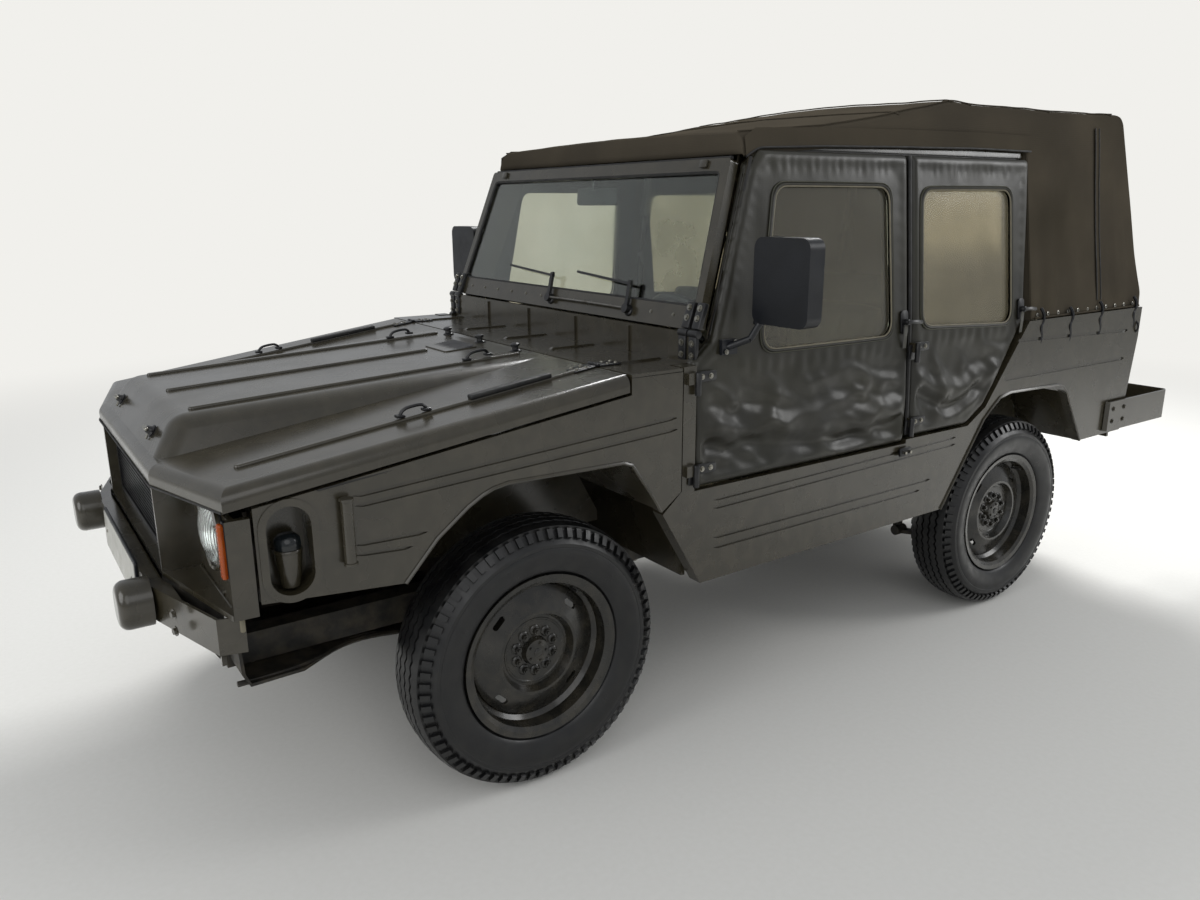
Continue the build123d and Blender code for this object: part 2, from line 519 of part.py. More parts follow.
# Headlamp section: (radius, distance behind its panel's face)
HEADLAMP_SECTION = [(0, 55), (70, 55), (74, 0), (HEADLAMP_RADIUS, 0), (HEADLAMP_RADIUS, -12), (60, -23), (30, -29),
                    (0, -31)]
lamp_axis = Axis((HEADLAMP[0], LAMP_PANEL_Y, HEADLAMP[1]), (0, 1, 0))
lamp_face = Plane(origin=lamp_axis.position, z_dir=(0, 0, 1)) * make_face(Polyline(*HEADLAMP_SECTION, close=True))
save("headlamps", both_sides(revolve(lamp_face, axis=lamp_axis)))
save("turn_lamps", both_sides(block(696, 715, -757, LAMP_PANEL_Y, 762, 880)))

# Front bumper: a bent channel with two round overriders
BUMPER_Z = (592.0, 673.0)
BUMPER_THICK = 7.0
HORN_X = 400.0
BUMPER_LINE = [(-706, -722), (-693, -776), (-405, BUMPER_FRONT_Y), (405, BUMPER_FRONT_Y), (693, -776), (706, -722)]
LEDGE = [(-560, -812), (-405, -856), (405, -856), (560, -812), (405, -815), (-405, -815)]
bumper = plan_prism(strip_outline(BUMPER_LINE, BUMPER_THICK), *BUMPER_Z)
for z in (BUMPER_Z[0], BUMPER_Z[1] - BUMPER_THICK):
    bumper = bumper + plan_prism(LEDGE, z, z + BUMPER_THICK)
bracket = block(336, 350, -855, RAIL_Y[0], 596, 669) + block(336, 350, RAIL_Y[0] - 12, RAIL_Y[0], 400, 600)
bumper = bumper + bracket + mirror(bracket, about=Plane.YZ)
horn_plane = Plane(origin=(HORN_X, BUMPER_FRONT_Y + 4, sum(BUMPER_Z) / 2), x_dir=(1, 0, 0), z_dir=(0, -1, 0))
horn = extrude(horn_plane * RectangleRounded(104, 112, 48), amount=BUMPER_FRONT_Y + 4 - HORN_TIP_Y)
horn = fillet(horn.faces().sort_by(Axis.Y)[0].edges(), 22)
save("bumper_front", bumper + horn + mirror(horn, about=Plane.YZ))

# Rear bumpers: open corner pieces on brackets
REAR_BUMPER_Z = (613.0, 731.0)
CORNER_LINE = [(760.2, 2559), (775, 2566), (775, 3010), (760, BUMPER_REAR_Y), (590, BUMPER_REAR_Y)]
rear_bumper = plan_prism(strip_outline(CORNER_LINE, BUMPER_THICK), *REAR_BUMPER_Z)
rear_bumper = rear_bumper + block(600, 612, REAR_PANEL_Y + SHEET, BUMPER_REAR_Y - 3, 640, 704)
save("bumper_rear", both_sides(rear_bumper + block(606, 772, 2760, 2770, 640, 704)))

# Cowl, bulkhead and the ribbed panel under the windscreen
COWL_Z = 1085.0
CAB_HALF = 700.0
cowl = block(-HALF_WIDTH, HALF_WIDTH, COWL_Y, 398, COWL_Z - 8, COWL_Z)
cowl = cowl + block(-CAB_HALF, CAB_HALF, 398, 477, COWL_Z - SHEET, COWL_Z)
cowl = cowl + block(-CAB_HALF + 2, CAB_HALF - 2, 465, 477, COWL_Z - 2, 1165)
# The bonnet's ribs go on over the cowl: (distance from the middle), from the seam to the ribbed panel
for x in (-598, -275, 0, 275, 598):
    cowl = cowl + side_prism([(285, COWL_Z - 4), (300, COWL_Z + 5), (440, COWL_Z + 5), (455, COWL_Z - 4)], x - 7, x + 7)
for x in (-430, -145, 145, 430):
    cowl = cowl + block(x - 5, x + 5, 459, 466, COWL_Z, 1158)
cowl = cowl + block(-CAB_HALF, CAB_HALF, CAB_FRONT_Y - SHEET, CAB_FRONT_Y, 480, COWL_Z - 8)
save("cowl", cowl)

# Windscreen frame, glass and wipers, on their leaning plane
lean = math.atan(SCREEN_LEAN)
SCREEN_PLANE = Plane(origin=(0, *SCREEN_HINGE), x_dir=(1, 0, 0), z_dir=(0, -math.cos(lean), math.sin(lean)))
SCREEN_OUTLINE = [(-SCREEN_HALF_LOW, 0), (SCREEN_HALF_LOW, 0), (SCREEN_HALF_TOP, SCREEN_HEIGHT),
                  (-SCREEN_HALF_TOP, SCREEN_HEIGHT)]
GLASS_OUTLINE = [(-679, 63), (679, 63), (631, 433), (-631, 433)]
GLASS_DEPTH = 10.0
GLASS_THICK = 5.0
WIPER_X = (-30.0, 400.0)
pane = SCREEN_PLANE.offset(-GLASS_DEPTH) * make_face(FilletPolyline(*GLASS_OUTLINE, radius=18, close=True))
screen = SCREEN_PLANE * make_face(FilletPolyline(*SCREEN_OUTLINE, radius=12, close=True))
save("windscreen_frame", extrude(screen, amount=-SCREEN_THICK) - extrude(pane, amount=60, both=True))
save("windscreen_glass", extrude(pane, amount=-GLASS_THICK))


def wiper(x):
    """A wiper: its pivot, arm and blade, just clear of the windscreen."""
    pivot = Pos(x, 30, 11) * Cylinder(14, 20)
    arm = Pos(x - 8, 68, 12) * Rot(0, 0, 10) * Box(14, 90, 9)
    blade = Pos(x - 150, 112, 13) * Rot(0, 0, -4) * Box(290, 7, 12)
    return SCREEN_PLANE * (arm + pivot + blade)


save("wipers", [wiper(x) for x in WIPER_X])

# Dashboard, column and steering wheel
HAND_WHEEL = (330.0, 820.0, 1060.0)
COLUMN_FOOT = (330.0, 484.0, 805.2)
HAND_WHEEL_RADIUS = 195.0
DASH_OUTLINE = [(477, 1075), (600, 1050), (640, 1010), (625, 900), (600, 890), (477, 930)]
column = (Vector(*HAND_WHEEL) - Vector(*COLUMN_FOOT)).normalized()
column_head = Vector(*HAND_WHEEL) - column * 47
save("dashboard", side_prism(DASH_OUTLINE, -660, 660) + rod(COLUMN_FOOT, tuple(column_head), 26))
wheel = Torus(HAND_WHEEL_RADIUS, 13) + Pos(0, 0, -20) * Cylinder(36, 50)
for turn in (0, 180, 270):
    wheel = wheel + Rot(0, 0, turn) * Pos(108, 0, -6) * Box(176, 24, 9)
save("steering_wheel", Plane(origin=HAND_WHEEL, x_dir=(1, 0, 0), z_dir=tuple(column)) * wheel)

# Seats: two in front on box frames, a bench behind
FRONT_SEAT_X = (-350.0, 350.0)
SEAT_HALF = 215.0
SEAT_FRAME_HALF = 195.0
BENCH_HALF = 480.0
BACK_OUTLINE = [(1290, 741), (1370, 741), (1480, 1190), (1410, 1190)]
BENCH_BACK_OUTLINE = [(1960, 806), (2040, 806), (2130, 1230), (2060, 1230)]
frames, cushions = [], []
for x in FRONT_SEAT_X:
    frames.append(block(x - SEAT_FRAME_HALF, x + SEAT_FRAME_HALF, 900, 1330, FLOOR_Z, 635))
    cushions.append(block(x - SEAT_HALF, x + SEAT_HALF, 880, 1330, 635, 735))
    cushions.append(side_prism(BACK_OUTLINE, x - SEAT_HALF, x + SEAT_HALF))
frames.append(block(-BENCH_HALF, BENCH_HALF, 2060, 2100, LOAD_FLOOR_Z, 790))
cushions.append(block(-BENCH_HALF, BENCH_HALF, 1660, 1980, LOAD_FLOOR_Z, 800))
cushions.append(side_prism(BENCH_BACK_OUTLINE, -BENCH_HALF, BENCH_HALF))
save("seat_frames", frames)
save("seat_cushions", cushions)

# Bonnet: a folded shell with a pressed bulge
BONNET_PLAN = [(-HALF_WIDTH, BONNET_REAR_Y), (HALF_WIDTH, BONNET_REAR_Y), NOSE_CORNER, (NOSE_BEND_X, NOSE_Y),
               (-NOSE_BEND_X, NOSE_Y), (-NOSE_CORNER[0], NOSE_CORNER[1])]
BONNET_INNER = [(-HALF_WIDTH + 18, 260), (HALF_WIDTH - 18, 260), (718, -738), (396, -808), (-396, -808),
                (-718, -738)]
wedge_ends = (NOSE_Y - 20, BONNET_REAR_Y + 40)
outer_wedge = [(y, bonnet_z(y)) for y in wedge_ends] + [(y, bonnet_z(y) - FLANGE_DEPTH) for y in wedge_ends[::-1]]
inner_wedge = [(y, bonnet_z(y) - BONNET_THICK) for y in wedge_ends] + [(y, 700) for y in wedge_ends[::-1]]
outer = plan_prism(BONNET_PLAN, 800, 1200) & side_prism(outer_wedge, -800, 800)
crease = [e for e in outer.edges() if e.center().Z > bonnet_z(e.center().Y) - 2 and e.center().Y < BONNET_REAR_Y - 5]
outer = fillet(crease, CREASE_ROUND)
inner = plan_prism(BONNET_INNER, 700, 1200) & side_prism(inner_wedge, -800, 800)


# Pressed ribs of the bonnet: (distance from the middle, front end's y, rear end's y, whether on the bulge)
BONNET_RIBS = [(-275.0, -707.0, 190.0, True), (0.0, -706.0, 28.0, True), (275.0, -707.0, 190.0, True),
               (-598.0, -692.0, 205.0, False), (598.0, -692.0, 205.0, False)]
RIB_WIDTH = 20.0
RIB_HEIGHT = 7.0
RIB_ROUND = 5.0
VENT_PLATE = (150.0, 108.0, 106.0, 3.0)


def bulge(inset):
    """The pressed bulge: a trapezium drawn along the sloping bonnet, cut by a flatter top."""
    drop, rise = 30.0, 110.0
    low = BULGE_HALF - inset + drop * BULGE_SIDE_LEAN
    high = BULGE_HALF - inset - rise * BULGE_SIDE_LEAN
    section = make_face(Polyline((-low, BONNET_FRONT_Z - drop), (low, BONNET_FRONT_Z - drop),
                                 (high, BONNET_FRONT_Z + rise), (-high, BONNET_FRONT_Z + rise), close=True))
    reach = (BULGE_REAR_Y - NOSE_Y + 40) * math.hypot(1, BONNET_SLOPE)
    body = extrude(Plane.XZ.offset(-NOSE_Y) * section, amount=reach, dir=(0, 1, BONNET_SLOPE))
    top_y, top_z = BULGE_TOP
    front_y, end_y = BULGE_FRONT_Y + inset, BULGE_REAR_Y + 8
    end_z = top_z + BULGE_TOP_SLOPE * (end_y - top_y)
    foot_y, foot_z = front_y - 18, bonnet_z(front_y) - inset - 27
    profile = [(foot_y, foot_z), (top_y + inset, top_z - inset), (end_y, end_z - inset),
               (end_y, bonnet_z(end_y) - 40)]
    return body & side_prism(profile, -500, 500)


def rounded_bulge(inset):
    """The bulge with its top, front and side edges rounded as pressed sheet is."""
    body = bulge(inset)
    edges = [e for e in body.edges()
             if e.center().Z > bonnet_z(e.center().Y) + 5 - inset and e.center().Y < BULGE_REAR_Y - 20]
    return fillet(edges, BULGE_ROUND - inset)


def bonnet_plane(x, y, on_bulge):
    """The plane that lies on the bonnet's sheet or on the bulge's top at a place, its x along the car."""
    slope = BULGE_TOP_SLOPE if on_bulge else BONNET_SLOPE
    z = BULGE_TOP[1] + slope * (y - BULGE_TOP[0]) if on_bulge else bonnet_z(y)
    return Plane(origin=(x, y, z), x_dir=(0, 1, slope), z_dir=(0, -slope, 1))


def rib(x, front_y, rear_y, on_bulge):
    """A pressed rib: a long rounded bead that stands on the sheet."""
    plane = bonnet_plane(x, (front_y + rear_y) / 2, on_bulge).offset(-RIB_HEIGHT)
    bead = extrude(plane * SlotOverall(rear_y - front_y, RIB_WIDTH), amount=2 * RIB_HEIGHT)
    return fillet(bead.faces().sort_by(Axis(plane.origin, plane.z_dir))[-1].edges(), RIB_ROUND)


bonnet = outer + rounded_bulge(0) - inner - rounded_bulge(BONNET_THICK)
for row in BONNET_RIBS:
    bonnet = bonnet + rib(*row)
width, length, middle_y, height = VENT_PLATE
vent_plane = bonnet_plane(0, middle_y, True)
bonnet = bonnet + extrude(vent_plane * RectangleRounded(length, width, 10), amount=height)
save("bonnet", bonnet)

# Doors: a leaning band cut to each door's outline, with its window and half of its hinges
DOOR_OUT = [(HALF_WIDTH, 700), (HALF_WIDTH, 900), (743, WAIST_Z), (690, 1640)]
FRONT_DOOR = [(451, 752), (1323, 752), (1323, DOOR_TOP_Z), (712, DOOR_TOP_Z), (668, 1590), (530, 1180),
              (516, 1140), (451, 1090)]
REAR_DOOR = [(1347, 765), (1652, 765), (1740, 818), (1953, 1104), (1966, DOOR_TOP_Z), (1347, DOOR_TOP_Z)]
FRONT_WINDOW = [(690, 1104), (1236, 1100), (1229, 1540), (760, 1540)]
REAR_WINDOW = [(1390, 1118), (1868, 1094), (1853, 1534), (1390, 1532)]
DOORS = [("front", FRONT_DOOR, FRONT_WINDOW), ("rear", REAR_DOOR, REAR_WINDOW)]
SHEET_DEPTH = 8.0
SHEET_THICK = 3.0


def door_band(depth, thick):
    """The door's leaning front-view band, from a depth under its outer face."""
    outer_line = [(x - depth, z) for x, z in DOOR_OUT]
    inner_line = [(x - depth - thick, z) for x, z in DOOR_OUT[::-1]]
    return front_prism(outer_line + inner_line, 400, 2100)


def door_hinge(hinge_y, foot):
    """The door's half of a hinge: its knuckle, link and pad on the door."""
    head, x = foot + HINGE_HEIGHT, DOOR_HINGE_X
    half = rod((x, hinge_y, foot), (x, hinge_y, head), HINGE_BARREL_R)
    half = half + block(x - 8, x, hinge_y, hinge_y + 14, foot, head)
    return half + block(x - 36, x, hinge_y + 13, hinge_y + 60, foot, head)


for name, outline, window in DOORS:
    hinge_y, heights = HINGES[name]
    hole = Plane.YZ.offset(500) * make_face(FilletPolyline(*window, radius=45, close=True))
    hole = extrude(hole, amount=400, dir=(1, 0, 0))
    skin = (side_prism(outline, 600, 800) & door_band(0, DOOR_THICK)) - hole
    for z in heights:
        skin = skin + door_hinge(hinge_y, z + HINGE_HEIGHT + 1)
    sheet = door_band(SHEET_DEPTH, SHEET_THICK) & hole
    for side_name, index in [("left", 0), ("right", 1)]:
        save(f"door_{name}_{side_name}", both_sides(skin)[index])
        save(f"door_window_{name}_{side_name}", both_sides(sheet)[index])

# Mirrors on the front doors
MIRROR_X = (792.0, 986.0)
MIRROR_Y = (600.0, 652.0)
MIRROR_Z = (1190.0, 1412.0)
head = fillet(block(*MIRROR_X, *MIRROR_Y, *MIRROR_Z).edges().filter_by(Axis.Y), 28)
arm = front_prism([(743, 1105), (752, 1105), (752, 1145), (739.1, 1145)], 535, 590)
arm = arm + rod((748, 560, 1125), (800, 590, 1150), 9) + rod((800, 590, 1150), (822, 620, 1215), 9)
for side_name, shape in zip(("left", "right"), both_sides(head + arm)):
    save(f"mirror_{side_name}", shape)

# Tailgate and rear lamps
TAILGATE_OUTLINE = [(2692, 773), (2721, 773), (2748, 972), (2750, 1088), (2718, 1088), (2716, 972)]
tailgate = side_prism(TAILGATE_OUTLINE, -TAILGATE_HALF, TAILGATE_HALF)
hinge_y, hinge_z = TAILGATE_HINGE
for x in TAILGATE_HINGE_X:
    tailgate = tailgate + rod((x + 1, hinge_y, hinge_z), (x + 60, hinge_y, hinge_z), TAILGATE_BARREL_R)
    tailgate = tailgate + block(x + 1, x + 60, hinge_y - 7, hinge_y, hinge_z, 780)
save("tailgate", tailgate)
save("tail_lamps", both_sides(block(600, 690, 2746.5, 2790, 880, 985)))

# Canvas top, its rear window and the bows under it
# Roof stations: (y, half width at the roof's edge, height of the edge, crown)
ROOF = [(664, 662, 1678, 14), (1006, 652, 1707, 16), (1331, 645, 1757, 20), (1599, 640, 1809, 28),
        (1691, 640, 1803, 24), (2151, 640, 1804, 22), (2640, 636, 1812, 14), (2780, 636, 1812, 14)]
CANVAS_LOW = (744.0, 1098.0)
SHOULDER = 26.0
REAR_TOP_Z = 1815.0
DOOR_SPACE = [(600, 1000), (1979, 1000), (1979, 1667), (1698, 1668), (1265, 1661), (953, 1654), (708, 1643),
              (655, 1611), (600, 1611)]
REAR_WINDOW_OUTLINE = [(-380, 1290), (380, 1290), (360, 1600), (-360, 1600)]


def canvas_section(y, half, edge_z, crown, inset):
    """A cross-section of the top: leaning sides, a bent shoulder and a crowned roof."""
    half, top = half - inset, edge_z - inset
    slant = (CANVAS_LOW[0] - inset - half) / (top - CANVAS_LOW[1])
    low = (CANVAS_LOW[0] - inset + slant * 3 * inset, CANVAS_LOW[1] - 3 * inset)
    right = [low, (half + slant * 2 * SHOULDER, top - 2 * SHOULDER), (half, top - SHOULDER / 2),
             (half - SHOULDER, top + 3)]
    left = [(-x, z) for x, z in right[::-1]]
    sides = Polyline(*(left + [right[0]]))
    roof = ThreePointArc(right[-1], (0, top + crown), left[0])
    return Plane.XZ.offset(-y) * make_face(sides + Polyline(*right) + roof)


def canvas_body(inset):
    """The whole volume under the canvas, cut by its leaning rear face."""
    rows = [(ROOF[0][0] + inset, *ROOF[0][1:])] + ROOF[1:]
    body = loft([canvas_section(*row, inset) for row in rows], ruled=True)
    back = [(600, 1000), (CANVAS_REAR_LOW_Y - inset, 1000), (CANVAS_REAR_LOW_Y - inset, CANVAS_LOW[1]),
            (CANVAS_REAR_TOP_Y - inset, REAR_TOP_Z), (CANVAS_REAR_TOP_Y - inset - 30, 1900), (600, 1900)]
    return body & side_prism(back, -800, 800)


rear_window = Plane.XZ.offset(-2500) * make_face(FilletPolyline(*REAR_WINDOW_OUTLINE, radius=50, close=True))
rear_window = extrude(rear_window, amount=400, dir=(0, 1, 0))
canvas = canvas_body(0) - canvas_body(CANVAS_THICK) - side_prism(DOOR_SPACE, -800, 800) - rear_window
save("canvas_top", canvas)
rear_lean = (CANVAS_REAR_LOW_Y - CANVAS_REAR_TOP_Y) / (REAR_TOP_Z - CANVAS_LOW[1])
sheet_line = [(CANVAS_REAR_LOW_Y - 5 - rear_lean * (z - CANVAS_LOW[1]), z) for z in (1250, 1640)]
save("curtain_window", side_prism(strip_outline(sheet_line, 3), -450, 450) & rear_window)
# Bows: (y, x of the feet, height)
BOWS = [(1334, 681, 1726), (2006, 690, 1773), (2600, 690, 1780)]
BOW_RADIUS = 13.0
BOW_TOP_X = 606.0
BOW_FOOT_Z = 1098.5
bows = block(630, 645, 680, 2010, 1628, 1648)
bows = bows + mirror(bows, about=Plane.YZ) + rod((-632, 690, 1638), (632, 690, 1638), 8)
for y, foot, top in BOWS:
    bows = bows + tube([(foot, y, BOW_FOOT_Z), (BOW_TOP_X, y, top), (-BOW_TOP_X, y, top), (-foot, y, BOW_FOOT_Z)],
                       BOW_RADIUS)
for y, foot, top in BOWS[1:]:
    for x0, x1 in [(-SIDE_IN, 4 - foot), (foot - 4, SIDE_IN)]:
        bows = bows + block(x0, x1, y - 15, y + 15, 1060, 1100)
save("top_bows", bows)
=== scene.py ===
"""Army 4x4 car: paint, canvas, tyres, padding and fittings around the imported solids."""

import logging
from collections.abc import Callable, Mapping, Sequence
from dataclasses import dataclass, field
from enum import Enum
from functools import cached_property
from math import atan, atan2, copysign, cos, inf, radians, sin, tan, tau
from typing import Any

import bmesh
import bpy
from mathutils import Matrix, Vector, noise


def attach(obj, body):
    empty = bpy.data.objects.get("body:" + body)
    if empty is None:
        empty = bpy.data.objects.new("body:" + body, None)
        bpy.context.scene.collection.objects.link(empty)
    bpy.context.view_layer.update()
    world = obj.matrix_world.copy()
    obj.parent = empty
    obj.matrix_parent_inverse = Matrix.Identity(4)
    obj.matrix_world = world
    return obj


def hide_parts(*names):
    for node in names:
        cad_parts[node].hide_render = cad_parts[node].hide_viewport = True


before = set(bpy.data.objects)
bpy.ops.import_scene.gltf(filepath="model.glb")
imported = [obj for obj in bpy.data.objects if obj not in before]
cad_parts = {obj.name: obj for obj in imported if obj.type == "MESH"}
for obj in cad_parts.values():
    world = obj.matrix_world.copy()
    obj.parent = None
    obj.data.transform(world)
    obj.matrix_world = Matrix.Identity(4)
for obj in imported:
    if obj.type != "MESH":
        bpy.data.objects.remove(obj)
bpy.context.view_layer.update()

log = logging.getLogger("army_car")

Point = tuple[float, float, float]
Flat = tuple[float, float]
Line = tuple[Flat, ...]
Path = tuple[Point, ...]
Row = tuple[float, ...]
Part = bmesh.types.BMesh
Piece = bpy.types.Object
Socket = bpy.types.NodeSocket

UP: Point = (0, 0, 1)
FORWARD: Point = (0, -1, 0)
REARWARD: Point = (0, 1, 0)
METRE = 1000.0
AXLE_TO_ORIGIN_MM = -1055.0
TO_FRAME = Matrix.Scale(1 / METRE, 4) @ Matrix.Translation((0, AXLE_TO_ORIGIN_MM, 0))


# Finishes


def linear(hex_colour: str) -> tuple[float, float, float, float]:
    """Turn an sRGB colour, six hex digits after a hash, into linear values and an alpha of 1."""
    parts = [int(hex_colour[i : i + 2], 16) / 255 for i in (1, 3, 5)]
    return *(c / 12.92 if c <= 0.04045 else ((c + 0.055) / 1.055) ** 2.4 for c in parts), 1.0


@dataclass
class Shading:
    """The nodes of one material, or of the world."""

    tree: bpy.types.NodeTree

    def add(
        self,
        kind: str,
        links: Mapping[str | int, Socket] | None = None,
        values: Mapping[str | int, Any] | None = None,
        **settings: Any,
    ) -> bpy.types.Node:
        """Add a node with its settings, its values and what feeds it.

        Args:
            kind: Class name of the node, after the words that all of them begin with.
            links: Output socket for each input that is fed.
            values: Value for each input that isn't.
            settings: Properties of the node itself.

        Returns:
            The new node.
        """
        made = self.tree.nodes.new(f"ShaderNode{kind}")
        for name, value in settings.items():
            setattr(made, name, value)
        for name, value in (values or {}).items():
            made.inputs[name].default_value = value
        for name, socket in (links or {}).items():
            self.tree.links.new(socket, made.inputs[name])
        return made

    @cached_property
    def place(self) -> Socket:
        """Coordinates on the piece in metres."""
        return self.add("TexCoord").outputs["Object"]

    def clouds(self, size_mm: float, detail: float = 4.0) -> Socket:
        """Give soft random patches of a size, with a number of finer layers, as values round 0.5."""
        values = {"Scale": METRE / size_mm, "Detail": detail}
        return self.add("TexNoise", {"Vector": self.place}, values).outputs["Fac"]

    def stripes(self, pitch_mm: float, axis: str, spot: Socket | None = None, **values: float) -> Socket:
        """Give even bands.

        Args:
            pitch_mm: Distance from band to band.
            axis: Axis that they follow one another along.
            spot: Coordinates in metres, where they aren't the piece's own.
            values: Other values of the pattern.

        Returns:
            Values from 0 to 1.
        """
        # A wave texture's band repeats every 2 pi / 20 of its scale.
        values["Scale"] = METRE / pitch_mm * tau / 20
        linked = {"Vector": spot or self.place}
        return self.add("TexWave", linked, values, bands_direction=axis).outputs["Fac"]

    def ramp(self, value: Socket, low: float = 0, high: float = 1, a: float = 0, b: float = 1) -> Socket:
        """Stretch a value's range from low and high to a and b, and clamp it there."""
        limits = {"From Min": low, "From Max": high, "To Min": a, "To Max": b}
        return self.add("MapRange", {"Value": value}, limits).outputs["Result"]

    def join(self, operation: str, a: Socket, b: Socket) -> Socket:
        """Join two values by a sum, a product or the like."""
        return self.add("Math", {0: a, 1: b}, operation=operation).outputs[0]

    def mix(self, share: Socket, a: Socket | str, b: Socket | str) -> Socket:
        """Blend two colours, each a socket or a hex value, by a share."""
        made = self.add("Mix", {0: share}, data_type="RGBA")
        for number, colour in ((6, a), (7, b)):
            if isinstance(colour, str):
                made.inputs[number].default_value = linear(colour)
            else:
                self.tree.links.new(colour, made.inputs[number])
        return made.outputs[2]

    def blend(self, share: Socket, a: bpy.types.Node, b: bpy.types.Node) -> Socket:
        """Blend what two shaders give by a share."""
        return self.add("MixShader", {0: share, 1: a.outputs[0], 2: b.outputs[0]}).outputs[0]


def shading_of(owner: bpy.types.Material | bpy.types.World) -> Shading:
    """Give a new material or world its empty set of nodes."""
    owner.use_nodes = True
    owner.node_tree.nodes.clear()
    return Shading(owner.node_tree)


@dataclass(frozen=True)
class Finish:
    """A surface as it was made: two shades in soft patches, its grain and its gloss."""

    name: str
    colour: str
    shade: str
    roughness: float
    spread: float = 0.08
    metallic: float = 0.0
    patch_mm: float = 160.0
    # Grain and waves in the sheet: (size, depth) in millimetres
    grain: Flat = (3.0, 0.1)
    wave: Flat | None = None
    ior: float = 1.5
    specular: float = 0.5
    transmission: float = 0.0
    sheen: float = 0.0
    coat: float = 0.0
    coat_roughness: float = 0.03

    def material(self) -> bpy.types.Material:
        """Return the finish's material, made at its first use."""
        found = bpy.data.materials.get(self.name)
        if found:
            return found
        made = bpy.data.materials.new(self.name)
        nodes = shading_of(made)
        relief = nodes.add("Bump", {"Height": self.height(nodes)}, {"Strength": 1.0, "Distance": 1 / METRE})
        colour, gloss = self.tint(nodes), self.gloss(nodes)
        shader = nodes.add(
            "BsdfPrincipled",
            {"Base Color": colour, "Roughness": gloss, "Normal": relief.outputs["Normal"]},
            {
                "Metallic": self.metallic,
                "IOR": self.ior,
                "Specular IOR Level": self.specular,
                "Transmission Weight": self.transmission,
                "Sheen Weight": self.sheen,
                "Coat Weight": self.coat,
                "Coat Roughness": self.coat_roughness,
            },
        )
        nodes.add("OutputMaterial", {"Surface": shader.outputs["BSDF"]})
        return made

    def tint(self, nodes: Shading) -> Socket:
        """Blend the two shades in soft patches."""
        share = nodes.ramp(nodes.clouds(self.patch_mm), 0.35, 0.65)
        return nodes.mix(share, self.colour, self.shade)

    def gloss(self, nodes: Shading) -> Socket:
        """Vary the roughness about its middle value."""
        low, high = self.roughness - self.spread, self.roughness + self.spread
        return nodes.ramp(nodes.clouds(self.patch_mm * 0.6), 0.3, 0.7, low, high)

    def height(self, nodes: Shading) -> Socket:
        """Give the relief in millimetres: the grain, and slow waves where the sheet isn't flat."""
        size, depth = self.grain
        grain = nodes.ramp(nodes.clouds(size, 2.0), b=depth)
        if not self.wave:
            return grain
        size, depth = self.wave
        return nodes.join("ADD", grain, nodes.ramp(nodes.clouds(size, 1.0), b=depth))


@dataclass(frozen=True)
class RoadFinish(Finish):
    """A finish that carries road dust, thickest low down."""

    dust: str = "#7B7260"
    dust_top_mm: float = 700.0
    dust_share: float = 0.45

    def tint(self, nodes: Shading) -> Socket:
        """Lay dust over the two shades, more of it near the ground."""
        height = nodes.add("SeparateXYZ", {"Vector": nodes.place}).outputs["Z"]
        low = nodes.ramp(height, self.dust_top_mm / METRE, 0.1, 0.05, self.dust_share)
        patches = nodes.ramp(nodes.clouds(45.0, 8.0), 0.42, 0.62)
        return nodes.mix(nodes.join("MULTIPLY", low, patches), super().tint(nodes), self.dust)


@dataclass(frozen=True)
class WovenFinish(Finish):
    """Cloth: crossing threads on the piece's own map in metres, over its two shades."""

    thread_mm: float = 4.0
    thread_depth_mm: float = 0.25
    # Colour of the broad stains, and of the painted shade in the hollows between threads
    stain_and_shade: str = "#38342B"

    def weave(self, nodes: Shading) -> Socket:
        """Cross the warp with the weft."""
        warp, weft = (
            nodes.stripes(self.thread_mm, axis, nodes.add("UVMap").outputs["UV"], Distortion=0.6, Detail=1.0)
            for axis in "XY"
        )
        return nodes.join("MULTIPLY", warp, weft)

    def tint(self, nodes: Shading) -> Socket:
        """Darken the hollows between threads with painted shade, and stain broad patches."""
        spots = nodes.ramp(nodes.clouds(420.0, 6.0), 0.5, 0.75, 0.0, 0.55)
        stained = nodes.mix(spots, super().tint(nodes), self.stain_and_shade)
        # Painted shade in the hollows between threads, in the same dark colour as the stains
        hollow = nodes.ramp(self.weave(nodes), 0.0, 0.35, 0.2, 0.0)
        return nodes.mix(hollow, stained, self.stain_and_shade)

    def height(self, nodes: Shading) -> Socket:
        """Add the threads to the grain."""
        threads = nodes.ramp(self.weave(nodes), b=self.thread_depth_mm)
        return nodes.join("ADD", super().height(nodes), threads)


@dataclass(frozen=True)
class PolishedFinish(Finish):
    """A smooth part that is lit by one even gloss, with faint smears."""

    def gloss(self, nodes: Shading) -> Socket:
        """Leave smears of a rougher film on the gloss."""
        film = nodes.clouds(self.patch_mm, 6.0)
        return nodes.ramp(film, 0.5, 0.72, self.roughness, self.roughness + self.spread)


@dataclass(frozen=True)
class MeshFinish(Finish):
    """Rows of small slots pressed in a sheet, drawn dark as painted shade."""

    pitch_mm: float = 12.0

    def tint(self, nodes: Shading) -> Socket:
        """Darken the slots between the rows with painted shade."""
        rows = nodes.ramp(nodes.stripes(self.pitch_mm, "Z"), 0.35, 0.65)
        return nodes.mix(rows, self.shade, self.colour)


@dataclass(frozen=True)
class FlutedFinish(PolishedFinish):
    """A lens with upright flutes moulded in it."""

    flute_mm: float = 9.0
    flute_depth_mm: float = 1.2

    def height(self, nodes: Shading) -> Socket:
        """Press the flutes."""
        return nodes.ramp(nodes.stripes(self.flute_mm, "X"), b=self.flute_depth_mm)


# Sprayed satin enamel on pressed steel: it reflects softly and shows the sheet's slow waves.
PAINT = RoadFinish(
    "satin_enamel_on_pressed_steel", "#322E22", "#2D291E", 0.27, 0.06, patch_mm=260, grain=(4, 0.03),
    wave=(230, 0.7), dust_share=0.12, coat=0.5, coat_roughness=0.16,
)
